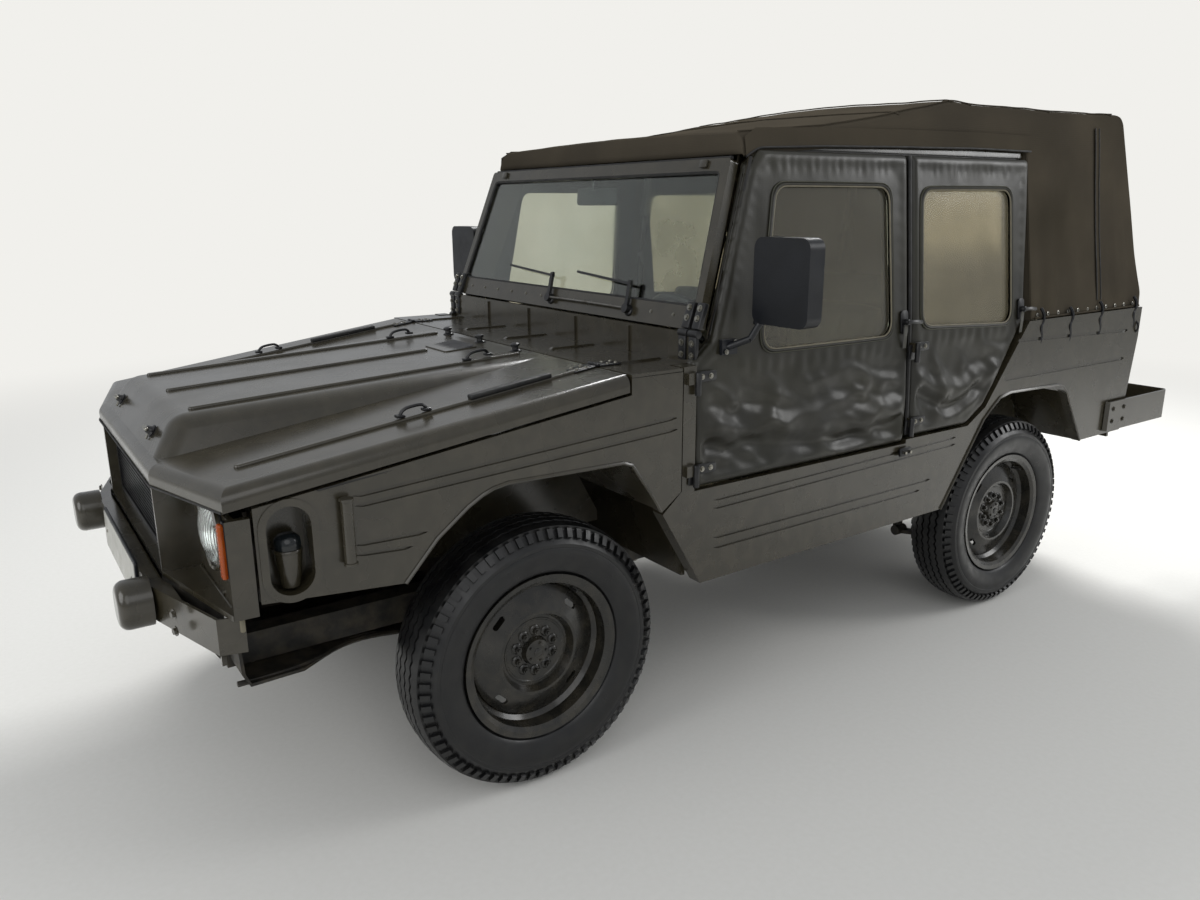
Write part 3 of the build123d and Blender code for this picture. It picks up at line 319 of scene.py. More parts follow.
# The wheels' enamel: nearly black, wiped with oil, so it shines more than the body.
WHEEL_ENAMEL = RoadFinish(
    "oiled_wheel_enamel", "#1C1B17", "#161511", 0.27, 0.1, patch_mm=90, grain=(4, 0.03), dust_top_mm=720,
    dust_share=0.12, coat=0.3, coat_roughness=0.14,
)
# Brushed black chassis coating: thick and uneven, so its highlights are broken.
COATING = RoadFinish(
    "brushed_chassis_coating", "#1D1C19", "#2A2721", 0.62, 0.15, patch_mm=60, grain=(9, 0.5), dust="#5F5646",
    dust_top_mm=900, dust_share=0.5,
)
# Vulcanised tyre rubber: near black, with dust in its moulded lines.
TYRE_RUBBER = RoadFinish(
    "vulcanised_tyre_rubber", "#0B0B0D", "#121314", 0.38, 0.12, patch_mm=70, grain=(2.5, 0.12),
    dust="#4A453B", dust_top_mm=720, dust_share=0.06, ior=1.52,
)
# Ribbed floor mats: dull rubber with a little dust trodden in.
RUBBER_MAT = RoadFinish(
    "ribbed_rubber_mat", "#24231F", "#2E2C26", 0.7, patch_mm=90, grain=(5, 0.4), dust_share=0.3,
)
# Sand-cast iron: dull grey with a coarse skin.
CAST_METAL = RoadFinish(
    "sand_cast_iron", "#4E4B46", "#37332D", 0.6, 0.12, metallic=0.75, patch_mm=35, grain=(3, 0.5),
    dust="#6B5A45", dust_top_mm=800, dust_share=0.6,
)
# Turned steel: bright, with faint stains.
STEEL = Finish("turned_steel", "#8D8B86", "#6E6A62", 0.36, 0.1, metallic=1.0, patch_mm=25, grain=(1.5, 0.05))
# Zinc-plated steel of bolts and small springs: bright with a cloudy bloom.
ZINC = Finish(
    "zinc_plated_steel", "#A3A199", "#7F7C72", 0.33, 0.1, metallic=1.0, patch_mm=8, grain=(1.5, 0.04),
)
# Brazed aluminium fins: dull silver, with painted shade in the slots between the rows.
RADIATOR_ALLOY = MeshFinish(
    "brazed_aluminium_fins", "#7C7D7B", "#3A3B3B", 0.5, 0.1, metallic=0.9, patch_mm=60, pitch_mm=9,
)
# Black stoved enamel on pressings and forgings: deep, fairly glossy.
ENAMEL = PolishedFinish("stoved_black_enamel", "#141416", "#1D1D1E", 0.3, 0.2, patch_mm=60, grain=(2, 0.05))
# Moulded black plastic: an etched grain that scatters its highlights.
PLASTIC = Finish("moulded_black_plastic", "#0D0F13", "#14161B", 0.4, patch_mm=90, grain=(3, 0.22), ior=1.47)
# Extruded black rubber seals: matt.
RUBBER = Finish(
    "extruded_rubber_seal", "#161616", "#232220", 0.62, 0.1, patch_mm=40, grain=(1.5, 0.08), ior=1.52,
)
# Pressed lamp glass: clear, with thick flutes.
LAMP_GLASS = PolishedFinish(
    "pressed_lamp_glass", "#F2F4F2", "#E2E6E4", 0.03, patch_mm=40, grain=(3, 0.02), transmission=1.0,
)
# Pressed headlamp lens: clear glass with upright flutes that break up the bulb's light.
HEADLAMP_LENS = FlutedFinish(
    "fluted_headlamp_glass", "#F2F4F2", "#E6EAE8", 0.03, 0.05, patch_mm=40, transmission=1.0,
)


def acrylic(name: str, colour: str, shade: str, roughness: float, spread: float, through: float) -> Finish:
    """Choose a moulded acrylic lens: deep colour that part of the light goes through."""
    return PolishedFinish(
        name, colour, shade, roughness, spread, patch_mm=30, grain=(3, 0.03), ior=1.49, transmission=through
    )


# Moulded acrylic lenses: amber and red glow in their depth, the smoked one stays dark.
AMBER_LENS = acrylic("moulded_amber_acrylic", "#D2661E", "#C2581A", 0.12, 0.12, 0.45)
RED_LENS = acrylic("moulded_red_acrylic", "#8E1512", "#7A100E", 0.12, 0.12, 0.45)
DARK_LENS = acrylic("smoked_acrylic", "#23282B", "#1A1E20", 0.14, 0.15, 0.3)
# Flat laminated window glass: a slight green tint and a wiped film.
WINDOW_GLASS = PolishedFinish(
    "laminated_glass", "#DDE6E3", "#D2DDD9", 0.02, 0.1, patch_mm=320, grain=(3, 0.0), wave=(400, 0.05),
    transmission=1.0,
)
# Calendered soft vinyl: cloudy, rippled, with rubbed streaks.
CLEAR_VINYL = PolishedFinish(
    "calendered_clear_vinyl", "#D8D3C0", "#CBC5B0", 0.04, 0.05, patch_mm=260, grain=(3, 0.0), wave=(170, 1.2),
    ior=1.45, transmission=0.95,
)
# The rear doors' older sheets: yellowed and hazy.
AGED_VINYL = PolishedFinish(
    "yellowed_clear_vinyl", "#CBC2A6", "#9C9378", 0.22, 0.16, patch_mm=420, grain=(3, 0.0), wave=(180, 1.6),
    ior=1.45, transmission=0.8,
)
# Welded edge tape round the clear sheets: pale and matt.
EDGE_TAPE = Finish("welded_edge_tape", "#77715F", "#6A6452", 0.5, 0.1, patch_mm=40, grain=(3, 0.06))
# Silvered glass and vacuum-coated reflectors: they mirror the studio.
MIRROR_SILVER = PolishedFinish(
    "silvered_glass", "#D9DCDD", "#D2D6D8", 0.04, metallic=1.0, patch_mm=60, grain=(3, 0.0),
)
# Proofed cotton canvas: fully matt. Its threads, 0.6 mm apart, are drawn 4 mm apart so that they show.
CANVAS = WovenFinish(
    "proofed_cotton_canvas", "#47423A", "#504A40", 0.66, patch_mm=330, grain=(7, 0.15), thread_depth_mm=0.12,
    specular=0.0,
)
# Coated door cloth: the same cloth under a rubbed vinyl face, so it shines along its creases.
DOOR_CLOTH = WovenFinish(
    "vinyl_coated_door_cloth", "#24221B", "#2D2B21", 0.4, 0.1, patch_mm=190, grain=(9, 0.12), wave=(70, 1.2),
    thread_mm=5.0, thread_depth_mm=0.06, stain_and_shade="#171A15", ior=1.45, coat=0.1, coat_roughness=0.22,
)
# Grained seat vinyl in olive green, worn paler in patches.
SEAT_VINYL = Finish(
    "grained_seat_vinyl", "#35352A", "#42412F", 0.5, 0.1, patch_mm=140, grain=(4, 0.35), ior=1.48,
)
# Woven nylon straps: flat ribs and a soft sheen.
WEBBING = Finish(
    "woven_nylon_webbing", "#2C2B22", "#353326", 0.7, 0.06, patch_mm=30, grain=(2.5, 0.3), sheen=0.3,
)
# Painted sheet of the number plates, left blank: pale, with a dull gloss.
PLATE_PAINT = Finish("painted_blank_plate", "#B9B8B2", "#A9A8A0", 0.42, patch_mm=60, grain=(3, 0.04))
# The dials' printed faces and marks: dark ground, cream lines.
DIAL_FACE = Finish("printed_dial_face", "#0E0F10", "#141516", 0.35, 0.05, patch_mm=30, grain=(3, 0.02))
DIAL_MARK = Finish("printed_dial_mark", "#D8D6C8", "#CAC8BA", 0.5, 0.05, patch_mm=20, grain=(3, 0.02))


# Shapes, drawn in millimetres from the ground under the front axle, rear along +Y


def place(origin: Point, out: Point = UP, up: Point = UP) -> Matrix:
    """Give the turn and place that stands a part on a surface.

    Args:
        origin: Where the part's own origin goes.
        out: Where its own Z points.
        up: Roughly where its own Y points.

    Returns:
        The matrix.
    """
    z = Vector(out).normalized()
    y = Vector(up)
    if abs(z.dot(y.normalized())) > 0.95:
        y = Vector(REARWARD) if abs(z.y) < 0.9 else Vector((1, 0, 0))
    x = y.cross(z).normalized()
    return Matrix.Translation(origin) @ Matrix((x, z.cross(x), z)).transposed().to_4x4()


def mesh_of(bm: Part, name: str) -> bpy.types.Mesh:
    """Turn a part into a mesh, and let go of the part."""
    mesh = bpy.data.meshes.new(name)
    bm.to_mesh(mesh)
    bm.free()
    return mesh


def faced_out(bm: Part) -> Part:
    """Turn a part's faces outwards."""
    bmesh.ops.recalc_face_normals(bm, faces=bm.faces)
    return bm


def soften(bm: Part, round_mm: float, segments: int = 2, over_deg: float = 30.0) -> None:
    """Round the sharp edges of a part.

    Args:
        bm: The part.
        round_mm: Radius of the rounding, or 0 for none.
        segments: Steps across it.
        over_deg: Least bend of an edge that is rounded.
    """
    if not round_mm:
        return
    limit = radians(over_deg)
    edges = [e for e in bm.edges if e.is_manifold and e.calc_face_angle(0.0) > limit]
    bmesh.ops.bevel(
        bm, geom=edges, offset=round_mm, segments=segments, profile=0.5, affect="EDGES", material=-1,
        clamp_overlap=True,
    )


def block(a: Point, b: Point, round_mm: float = 0.0, segments: int = 2) -> Part:
    """Make a box with rounded edges between two opposite corners."""
    bm = bmesh.new()
    size = [abs(q - p) for p, q in zip(a, b)]
    middle = (Vector(a) + Vector(b)) / 2
    bmesh.ops.create_cube(bm, size=1.0, matrix=Matrix.Translation(middle) @ Matrix.Diagonal((*size, 1)))
    soften(bm, round_mm, segments)
    return bm


def rod(
    start: Point, end: Point, radius: float, sides: int = 14, tip: float | None = None, round_mm: float = 0.0
) -> Part:
    """Make a round bar or cone between two points.

    Args:
        start: Middle of its first end.
        end: Middle of its other end.
        radius: Radius at the start.
        sides: Faces round it.
        tip: Radius at the end, or None for the same.
        round_mm: Rounding of its end edges.

    Returns:
        The part.
    """
    a, b = Vector(start), Vector(end)
    bm = bmesh.new()
    bmesh.ops.create_cone(
        bm, cap_ends=True, segments=sides, radius1=radius, radius2=radius if tip is None else tip,
        depth=(b - a).length, matrix=place((a + b) / 2, b - a),
    )
    soften(bm, round_mm, 2, 50.0)
    return bm


def spun(points: Sequence[Point], axis: Point, steps: int, closed: bool) -> Part:
    """Turn a line of points about an axis through the origin.

    Args:
        points: The points in order.
        axis: Direction of the axis.
        steps: Faces round it.
        closed: Whether the last point joins the first.

    Returns:
        The part, its poles closed and its faces outwards.
    """
    bm = bmesh.new()
    verts = [bm.verts.new(point) for point in points]
    pairs = zip(verts, verts[1:] + verts[:1] if closed else verts[1:])
    edges = [bm.edges.new(pair) for pair in pairs]
    bmesh.ops.spin(
        bm, geom=verts + edges, cent=(0, 0, 0), axis=axis, dvec=(0, 0, 0), angle=tau, steps=steps,
        use_merge=True, use_duplicate=False,
    )
    bmesh.ops.remove_doubles(bm, verts=bm.verts, dist=0.01)
    return faced_out(bm)


def turned(profile: Sequence[Flat], steps: int = 32, closed: bool = False) -> Part:
    """Turn a profile of (radius, height) points about Z."""
    return spun([(r, 0, z) for r, z in profile], UP, steps, closed)


def plate(outline: Sequence[Flat], thick: float, round_mm: float = 0.0) -> Part:
    """Make a flat plate from its outline in X and Y, from 0 up to its thickness."""
    bm = bmesh.new()
    face = bm.faces.new([bm.verts.new((x, y, 0)) for x, y in outline])
    made = bmesh.ops.extrude_face_region(bm, geom=[face])
    bmesh.ops.translate(bm, vec=(0, 0, thick), verts=verts_of(made))
    soften(faced_out(bm), round_mm)
    return bm


def verts_of(made: Mapping[str, Sequence[Any]]) -> list[bmesh.types.BMVert]:
    """Pick the vertices out of what an extrusion made."""
    return [v for v in made["geom"] if isinstance(v, bmesh.types.BMVert)]


def wire(
    points: Sequence[Point], radius: float, sides: int = 8, closed: bool = False, smooth: bool = True
) -> Part:
    """Make a bent round wire.

    Args:
        points: Points that it follows.
        radius: Its radius.
        sides: Faces round it.
        closed: Whether it is a ring.
        smooth: Whether it bends smoothly, and not at its points.

    Returns:
        The part.
    """
    curve = bpy.data.curves.new("wire", "CURVE")
    curve.dimensions = "3D"
    curve.bevel_depth = radius
    curve.bevel_resolution = max(0, sides // 4 - 1)
    curve.resolution_u = 5
    curve.use_fill_caps = True
    spline = curve.splines.new("NURBS" if smooth else "POLY")
    spline.points.add(len(points) - 1)
    for spot, point in zip(spline.points, points):
        spot.co = (*point, 1)
    if smooth:
        spline.order_u = 3
        spline.use_endpoint_u = not closed
    spline.use_cyclic_u = closed
    holder = bpy.data.objects.new("wire", curve)
    mesh = bpy.data.meshes.new_from_object(holder)
    bm = bmesh.new()
    bm.from_mesh(mesh)
    bpy.data.objects.remove(holder)
    bpy.data.curves.remove(curve)
    bpy.data.meshes.remove(mesh)
    return bm


def ribbon(points: Sequence[Point], across: Point, width: float, thick: float) -> Part:
    """Lay a flat strap along a line.

    Args:
        points: Points that its middle follows.
        across: Direction of its width.
        width: Its width.
        thick: Its thickness.

    Returns:
        The strap.
    """
    bm = bmesh.new()
    last = len(points) - 1
    bmesh.ops.create_grid(bm, x_segments=1, y_segments=last, size=0.5)
    for vert in bm.verts:
        middle = Vector(points[round((vert.co.y + 0.5) * last)])
        vert.co = middle + Vector(across).normalized() * width * vert.co.x
    bmesh.ops.solidify(bm, geom=bm.faces[:], thickness=thick)
    return faced_out(bm)


def rounded(outline: Sequence[Flat], radius: float, steps: int = 4) -> list[Flat]:
    """Round the corners of a flat outline.

    Args:
        outline: Its corners in order.
        radius: Radius of every corner.
        steps: Pieces of each arc.

    Returns:
        The outline with an arc at each corner.
    """
    made: list[Flat] = []
    count = len(outline)
    for i in range(count):
        before, corner, after = (Vector(outline[(i + k) % count]) for k in (-1, 0, 1))
        a, b = (before - corner).normalized(), (after - corner).normalized()
        half = a.angle(b) / 2
        cut = min(radius / tan(half), (before - corner).length * 0.48, (after - corner).length * 0.48)
        for k in range(steps + 1):
            t = k / steps
            near = (corner + a * cut) * (1 - t) ** 2 + corner * 2 * t * (1 - t) + (corner + b * cut) * t * t
            made.append((near.x, near.y))
    return made


def tablet(half: float, high: float, radius: float, steps: int = 4, low: float | None = None) -> list[Flat]:
    """Outline a plate with rounded corners, from its middle out, as far down as up if low isn't given."""
    foot = -high if low is None else low
    return rounded(((-half, foot), (half, foot), (half, high), (-half, high)), radius, steps)


def sides_of(outline: Sequence[Flat]) -> zip:
    """Pair each corner of a closed outline with the next."""
    return zip(outline, [*outline[1:], outline[0]])


def inside(spot: Flat, outline: Sequence[Flat]) -> bool:
    """Say whether a flat point lies inside an outline."""
    x, y = spot
    found = False
    for (x0, y0), (x1, y1) in sides_of(outline):
        if (y0 > y) != (y1 > y) and x < (x1 - x0) * (y - y0) / (y1 - y0) + x0:
            found = not found
    return found


def clearance(spot: Flat, outline: Sequence[Flat]) -> float:
    """Give the distance from a flat point to an outline's nearest edge."""
    p = Vector(spot)
    best = inf
    for a, b in sides_of(outline):
        start, run = Vector(a), Vector(b) - Vector(a)
        t = clamp((p - start).dot(run) / max(run.length_squared, 1e-9))
        best = min(best, (start + run * t - p).length)
    return best


def along(table: Sequence[Flat], at: float) -> float:
    """Read a value between the rows of a table of (position, value)."""
    for (a, va), (b, vb) in zip(table, table[1:]):
        if at <= b:
            return va + (vb - va) * max(0.0, (at - a) / (b - a))
    return table[-1][1]


def clamp(value: float) -> float:
    """Keep a value between 0 and 1."""
    return max(0.0, min(1.0, value))


def bell(at: float, middle: float, half: float) -> float:
    """Give a smooth bump of height 1 that ends half a width to each side."""
    t = min(1.0, abs(at - middle) / half)
    return (1 - t * t) ** 2


def ripple(*at: float) -> float:
    """Give smooth noise between -1 and 1 at a point in its own units."""
    return noise.noise(Vector((*at, 0.0)[:3]))


def crease(*at: float) -> float:
    """Give sharp-crested folds between 0 and 1."""
    return 1.0 - min(1.0, abs(ripple(*at)) * 3.2)


@dataclass
class Shape:
    """A piece in the making: parts joined in one mesh, each with its finish."""

    bm: Part = field(default_factory=bmesh.new)
    finishes: list[Finish] = field(default_factory=list)

    def take(self, part: Part, finish: Finish, *places: Matrix) -> None:
        """Join a part at each of its places, and let go of it.

        Args:
            part: The part; it is freed.
            finish: What it is made of.
            places: Where it goes, once for each matrix; without any, it stays where it is.
        """
        if finish not in self.finishes:
            self.finishes.append(finish)
        for face in part.faces:
            face.material_index = self.finishes.index(finish)
            face.smooth = True
        mesh = mesh_of(part, "part")
        for matrix in places or (Matrix.Identity(4),):
            copy = mesh.copy()
            copy.transform(matrix)
            self.bm.from_mesh(copy)
            bpy.data.meshes.remove(copy)
        bpy.data.meshes.remove(mesh)

    def piece(
        self, name: str, body: str, slot: str, replaces: Sequence[str] = (), sharp_deg: float = 38.0
    ) -> Piece:
        """Finish the piece in the car's frame.

        Args:
            name: Name of the piece.
            body: Body that carries it.
            slot: The record's slot for its main finish; not used.
            replaces: Nodes that it stands for.
            sharp_deg: Bend over which an edge is shaded sharp.

        Returns:
            The piece's object.
        """
        self.bm.transform(TO_FRAME)
        mesh = mesh_of(self.bm, name)
        mesh.set_sharp_from_angle(angle=radians(sharp_deg))
        for finish in self.finishes:
            mesh.materials.append(finish.material())
        made = bpy.data.objects.new(name, mesh)
        bpy.context.scene.collection.objects.link(made)
        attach(made, body)
        if replaces:
            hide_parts(*replaces)
        log.info("%s: %d faces on %s", name, len(mesh.polygons), body)
        return made


def one_piece(bm: Part, finish: Finish, *told: Any) -> Piece:
    """Finish a piece that is one part, with what Shape.piece is told."""
    shape = Shape()
    shape.take(faced_out(bm), finish)
    return shape.piece(*told)


def modify(piece: Piece, kind: str, **settings: Any) -> bpy.types.Modifier:
    """Add a modifier with its settings to a piece."""
    made = piece.modifiers.new(kind.lower(), kind)
    for name, value in settings.items():
        setattr(made, name, value)
    return made


def thicken(piece: Piece, thick_mm: float, offset: float = 0.0, smooth: bool = True) -> None:
    """Give a cloth its thickness.

    Args:
        piece: The cloth.
        thick_mm: Its thickness.
        offset: Side that it grows to, from -1 to 1.
        smooth: Whether its faces are subdivided first.
    """
    if smooth:
        modify(piece, "SUBSURF", levels=1, render_levels=1)
    modify(piece, "SOLIDIFY", thickness=thick_mm / METRE, offset=offset)


def bolt(radius: float = 6.0, height: float = 5.0) -> Part:
    """Make a hexagon bolt head on its washer, standing on Z."""
    bm = rod((0, 0, 0), (0, 0, height * 0.3), radius * 1.45, 12)
    head = rod((0, 0, height * 0.3), (0, 0, height), radius, 6, radius * 0.93)
    mesh = mesh_of(head, "head")
    bm.from_mesh(mesh)
    bpy.data.meshes.remove(mesh)
    return bm


def moved(x: float, y: float, z: float) -> Matrix:
    """Move a part without turning it."""
    return Matrix.Translation((x, y, z))


class Named(Enum):
    """A choice that names of nodes are made with."""

    @property
    def word(self) -> str:
        """Its name as the nodes have it."""
        return self.name.lower()


class Side(Named):
    """The car's two sides, by the sign of X."""

    LEFT = 1
    RIGHT = -1

    @property
    def out(self) -> Point:
        """Direction away from the car."""
        return self.value, 0, 0

    def x(self, value: float) -> float:
        """Put a distance from the middle on this side."""
        return self.value * value

    def at(self, x: float, y: float, z: float) -> Point:
        """Put a point of the left side on this side."""
        return self.value * x, y, z

    def stand(self, x: float, y: float, z: float) -> Matrix:
        """Stand a part on this side, facing out."""
        return place(self.at(x, y, z), self.out)

    def line(self, points: Sequence[Point], start: Point = (0, 0, 0)) -> list[Point]:
        """Put a line of the left side on this side, its points measured from a start."""
        return [self.at(*(a + b for a, b in zip(point, start))) for point in points]


class End(Named):
    """The car's two ends."""

    FRONT = 0
    REAR = 1


@dataclass
class CornerPart:
    """What there is four times, once at each end of each side."""

    end: End
    side: Side

    @property
    def name(self) -> str:
        """Name that the corner's bodies and nodes have in common."""
        return f"{self.end.word}_{self.side.word}"



# The studio


@dataclass
class Studio:
    """Pale floor, soft light and the camera where the photograph was taken."""

    camera_mm: Point = (2576.826, -1111.603, 1492.418)
    azimuth_deg: float = 55.538
    elevation_deg: float = 14.843
    roll_deg: float = -0.287
    focal_px: float = 924.455
    image_width_px: float = 1200.0
    sensor_mm: float = 36.0
    floor_radius_m: float = 40.0
    floor_grains_per_m: float = 60.0
    light_strength: float = 0.5
    sky: str = "#F3F6FA"
    backdrop: str = "#F1F0EC"
    aim_m: Point = (0, 0, 0.7)
    # Each lamp: its name, where it hangs in metres, its size and its power
    lamps: tuple[tuple[str, Point, float, float], ...] = (
        ("key", (-3.2, 3.4, 5.2), 3.0, 430.0),
        ("rake", (3.2, 4.6, 3.4), 2.6, 75.0),
        ("fill", (4.6, -2.6, 3.4), 4.0, 40.0),
        ("nose", (0.8, -5.5, 2.6), 3.5, 70.0),
    )

    def hang(self, name: str, data: bpy.types.ID, turn: Matrix) -> Piece:
        """Put a camera, a lamp or the floor in the scene."""
        made = bpy.data.objects.new(name, data)
        made.matrix_world = turn
        bpy.context.scene.collection.objects.link(made)
        return made

    def set_camera(self) -> None:
        """Stand the camera where the photograph was taken."""
        az, el, roll = (radians(a) for a in (self.azimuth_deg, self.elevation_deg, self.roll_deg))
        back = Vector((sin(az) * cos(el), -cos(az) * cos(el), sin(el)))
        right = (-back).cross(Vector(UP)).normalized()
        up = right.cross(-back)
        turned_right = right * cos(roll) + up * sin(roll)
        turned_up = up * cos(roll) - right * sin(roll)
        lens = bpy.data.cameras.new("camera")
        lens.sensor_width = self.sensor_mm
        lens.lens = self.focal_px * self.sensor_mm / self.image_width_px
        lens.clip_start = 0.05
        lens.clip_end = 200.0
        turn = Matrix((turned_right, turned_up, back)).transposed().to_4x4()
        spot = Matrix.Translation(TO_FRAME @ Vector(self.camera_mm))
        bpy.context.scene.camera = self.hang("camera", lens, spot @ turn)

    def set_lamps(self) -> None:
        """Hang the large soft lamps round the car."""
        for name, spot, size, power in self.lamps:
            data = bpy.data.lights.new(name, "AREA")
            data.shape = "DISK"
            data.size = size
            data.energy = power
            turn = (Vector(spot) - Vector(self.aim_m)).to_track_quat("Z", "Y").to_matrix().to_4x4()
            self.hang(name, data, Matrix.Translation(spot) @ turn)

    def seen(self, nodes: Shading) -> Socket:
        """Give 1 for rays that come straight from the camera or through a glass."""
        rays = nodes.add("LightPath").outputs
        return nodes.join("MAXIMUM", rays["Is Camera Ray"], rays["Is Transmission Ray"])

    def set_world(self) -> None:
        """Light the studio evenly, and show a pale background to the camera."""
        world = bpy.data.worlds.new("studio")
        nodes = shading_of(world)
        light = nodes.add("Background", values={"Color": linear(self.sky), "Strength": self.light_strength})
        shown = nodes.add("Background", values={"Color": linear(self.backdrop), "Strength": 1.0})
        nodes.add("OutputWorld", {"Surface": nodes.blend(self.seen(nodes), light, shown)})
        bpy.context.scene.world = world

    def set_floor(self) -> None:
        """Lay the floor, which fades into the background away from the car."""
        bm = bmesh.new()
        bmesh.ops.create_circle(bm, cap_ends=True, segments=96, radius=self.floor_radius_m)
        mesh = mesh_of(bm, "floor")
        finish = bpy.data.materials.new("painted_studio_floor")
        nodes = shading_of(finish)
        far = nodes.add("VectorMath", {0: nodes.place}, operation="LENGTH").outputs["Value"]
        limits = {"From Min": 3.2, "From Max": 8.0}
        fade = nodes.add("MapRange", {"Value": far}, limits, interpolation_type="SMOOTHSTEP").outputs[0]
        colour = nodes.mix(nodes.clouds(METRE / self.floor_grains_per_m), "#E2E1DC", "#E9E8E4")
        matt = nodes.add("BsdfDiffuse", {"Color": colour})
        shown = nodes.add("Emission", values={"Color": linear(self.backdrop), "Strength": 1.0})
        share = nodes.join("MULTIPLY", fade, self.seen(nodes))
        nodes.add("OutputMaterial", {"Surface": nodes.blend(share, matt, shown)})
        mesh.materials.append(finish)
        self.hang("floor", mesh, Matrix.Identity(4))

    def build(self) -> None:
        """Set up the whole studio."""
        bpy.context.scene.view_settings.view_transform = "Standard"
        self.set_camera()
        self.set_lamps()
        self.set_world()
        self.set_floor()


@dataclass
class Bodywork:
    """Finishes of the solids that keep their own shape."""

    # What a node's name begins with; the first that fits is taken
    starts: tuple[tuple[Finish, str], ...] = (
        (CLEAR_VINYL, "door_window_front curtain_window"),
        (AGED_VINYL, "door_window_rear"),
        (DOOR_CLOTH, "door_"),
        (WINDOW_GLASS, "windscreen_glass"),
        (WHEEL_ENAMEL, "rim_"),
        (TYRE_RUBBER, "tyre_"),
        (COATING, "frame_rails cross_members tow_points wishbones leaf_springs fuel_tank skid_plate"),
        (CAST_METAL, "engine drive_cases rear_hub_carriers knuckle_ exhaust"),
        (STEEL, "drive_shafts"),
        (RADIATOR_ALLOY, "radiator"),
        (ENAMEL, "grille wipers"),
        (PLASTIC, "steering_wheel mirror_"),
        (LAMP_GLASS, "headlamps"),
        (AMBER_LENS, "turn_lamps"),
        (DARK_LENS, "side_lamps"),
        (RED_LENS, "tail_lamps"),
        (CANVAS, "canvas_top"),
        (SEAT_VINYL, "seat_cushions"),
        (PAINT, "floor_pan body_sides front_ bumper_ cowl windscreen_frame dashboard bonnet tailgate"),
        (PAINT, "top_bows seat_frames"),
    )

    def build(self) -> None:
        """Give each solid its finish."""
        for name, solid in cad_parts.items():
            finish = next(finish for finish, starts in self.starts if name.startswith(tuple(starts.split())))
            if not solid.material_slots:
                solid.data.materials.append(finish.material())
            for slot in solid.material_slots:
                slot.material = finish.material()
            log.info("%s: %s", name, finish.name)


# Soft goods


def cloth(outline: Sequence[Flat], hole: Sequence[Flat], spacing: float) -> Part:
    """Cut a flat piece of cloth, meshed in small squares so that it can fold.

    Args:
        outline: Its outer edge, in X and Y.
        hole: Edge of the hole in it.
        spacing: Size of the squares.

    Returns:
        The flat mesh, trimmed to its edges.
    """
    low, high = (Vector([pick(p[k] for p in outline) for k in (0, 1)]) for pick in (min, max))
    wide, long = high - low + Vector((2, 2))
    middle = Matrix.Translation((*(low + high) / 2, 0))
    bm = bmesh.new()
    bmesh.ops.create_grid(
        bm, x_segments=round(wide / spacing), y_segments=round(long / spacing), size=0.5,
        matrix=middle @ Matrix.Diagonal((wide, long, 1, 1)),
    )
    reach = 1.6 * spacing
    for a, b in (*sides_of(outline), *sides_of(hole)):
        near = []
        for face in bm.faces:
            spot = face.calc_center_median()
            if all(min(a[k], b[k]) - reach < spot[k] < max(a[k], b[k]) + reach for k in (0, 1)):
                near += [face, *face.edges, *face.verts]
        bmesh.ops.bisect_plane(
            bm, geom=list(set(near)), dist=0.05, plane_co=(*a, 0), plane_no=(b[1] - a[1], a[0] - b[0], 0)
        )
    waste = []
    for face in bm.faces:
        spot = face.calc_center_median().xy
        if not inside(spot, outline) or inside(spot, hole):
            waste.append(face)
    bmesh.ops.delete(bm, geom=waste, context="FACES")
    bmesh.ops.remove_doubles(bm, verts=bm.verts, dist=spacing * 0.04)
    return bm


def map_threads(bm: Part, spot: Callable[[bmesh.types.BMVert], Flat]) -> None:
    """Give a cloth its map in metres along the threads.

    Args:
        bm: The cloth.
        spot: Flat place of a vertex in millimetres.
    """
    layer = bm.loops.layers.uv.verify()
    for face in bm.faces:
        for loop in face.loops:
            x, y = spot(loop.vert)
            loop[layer].uv = (x / METRE, y / METRE)


def area_of(bm: Part) -> float:
    """Give a cloth's area in square metres."""
    return sum(f.calc_area() for f in bm.faces) / METRE**2


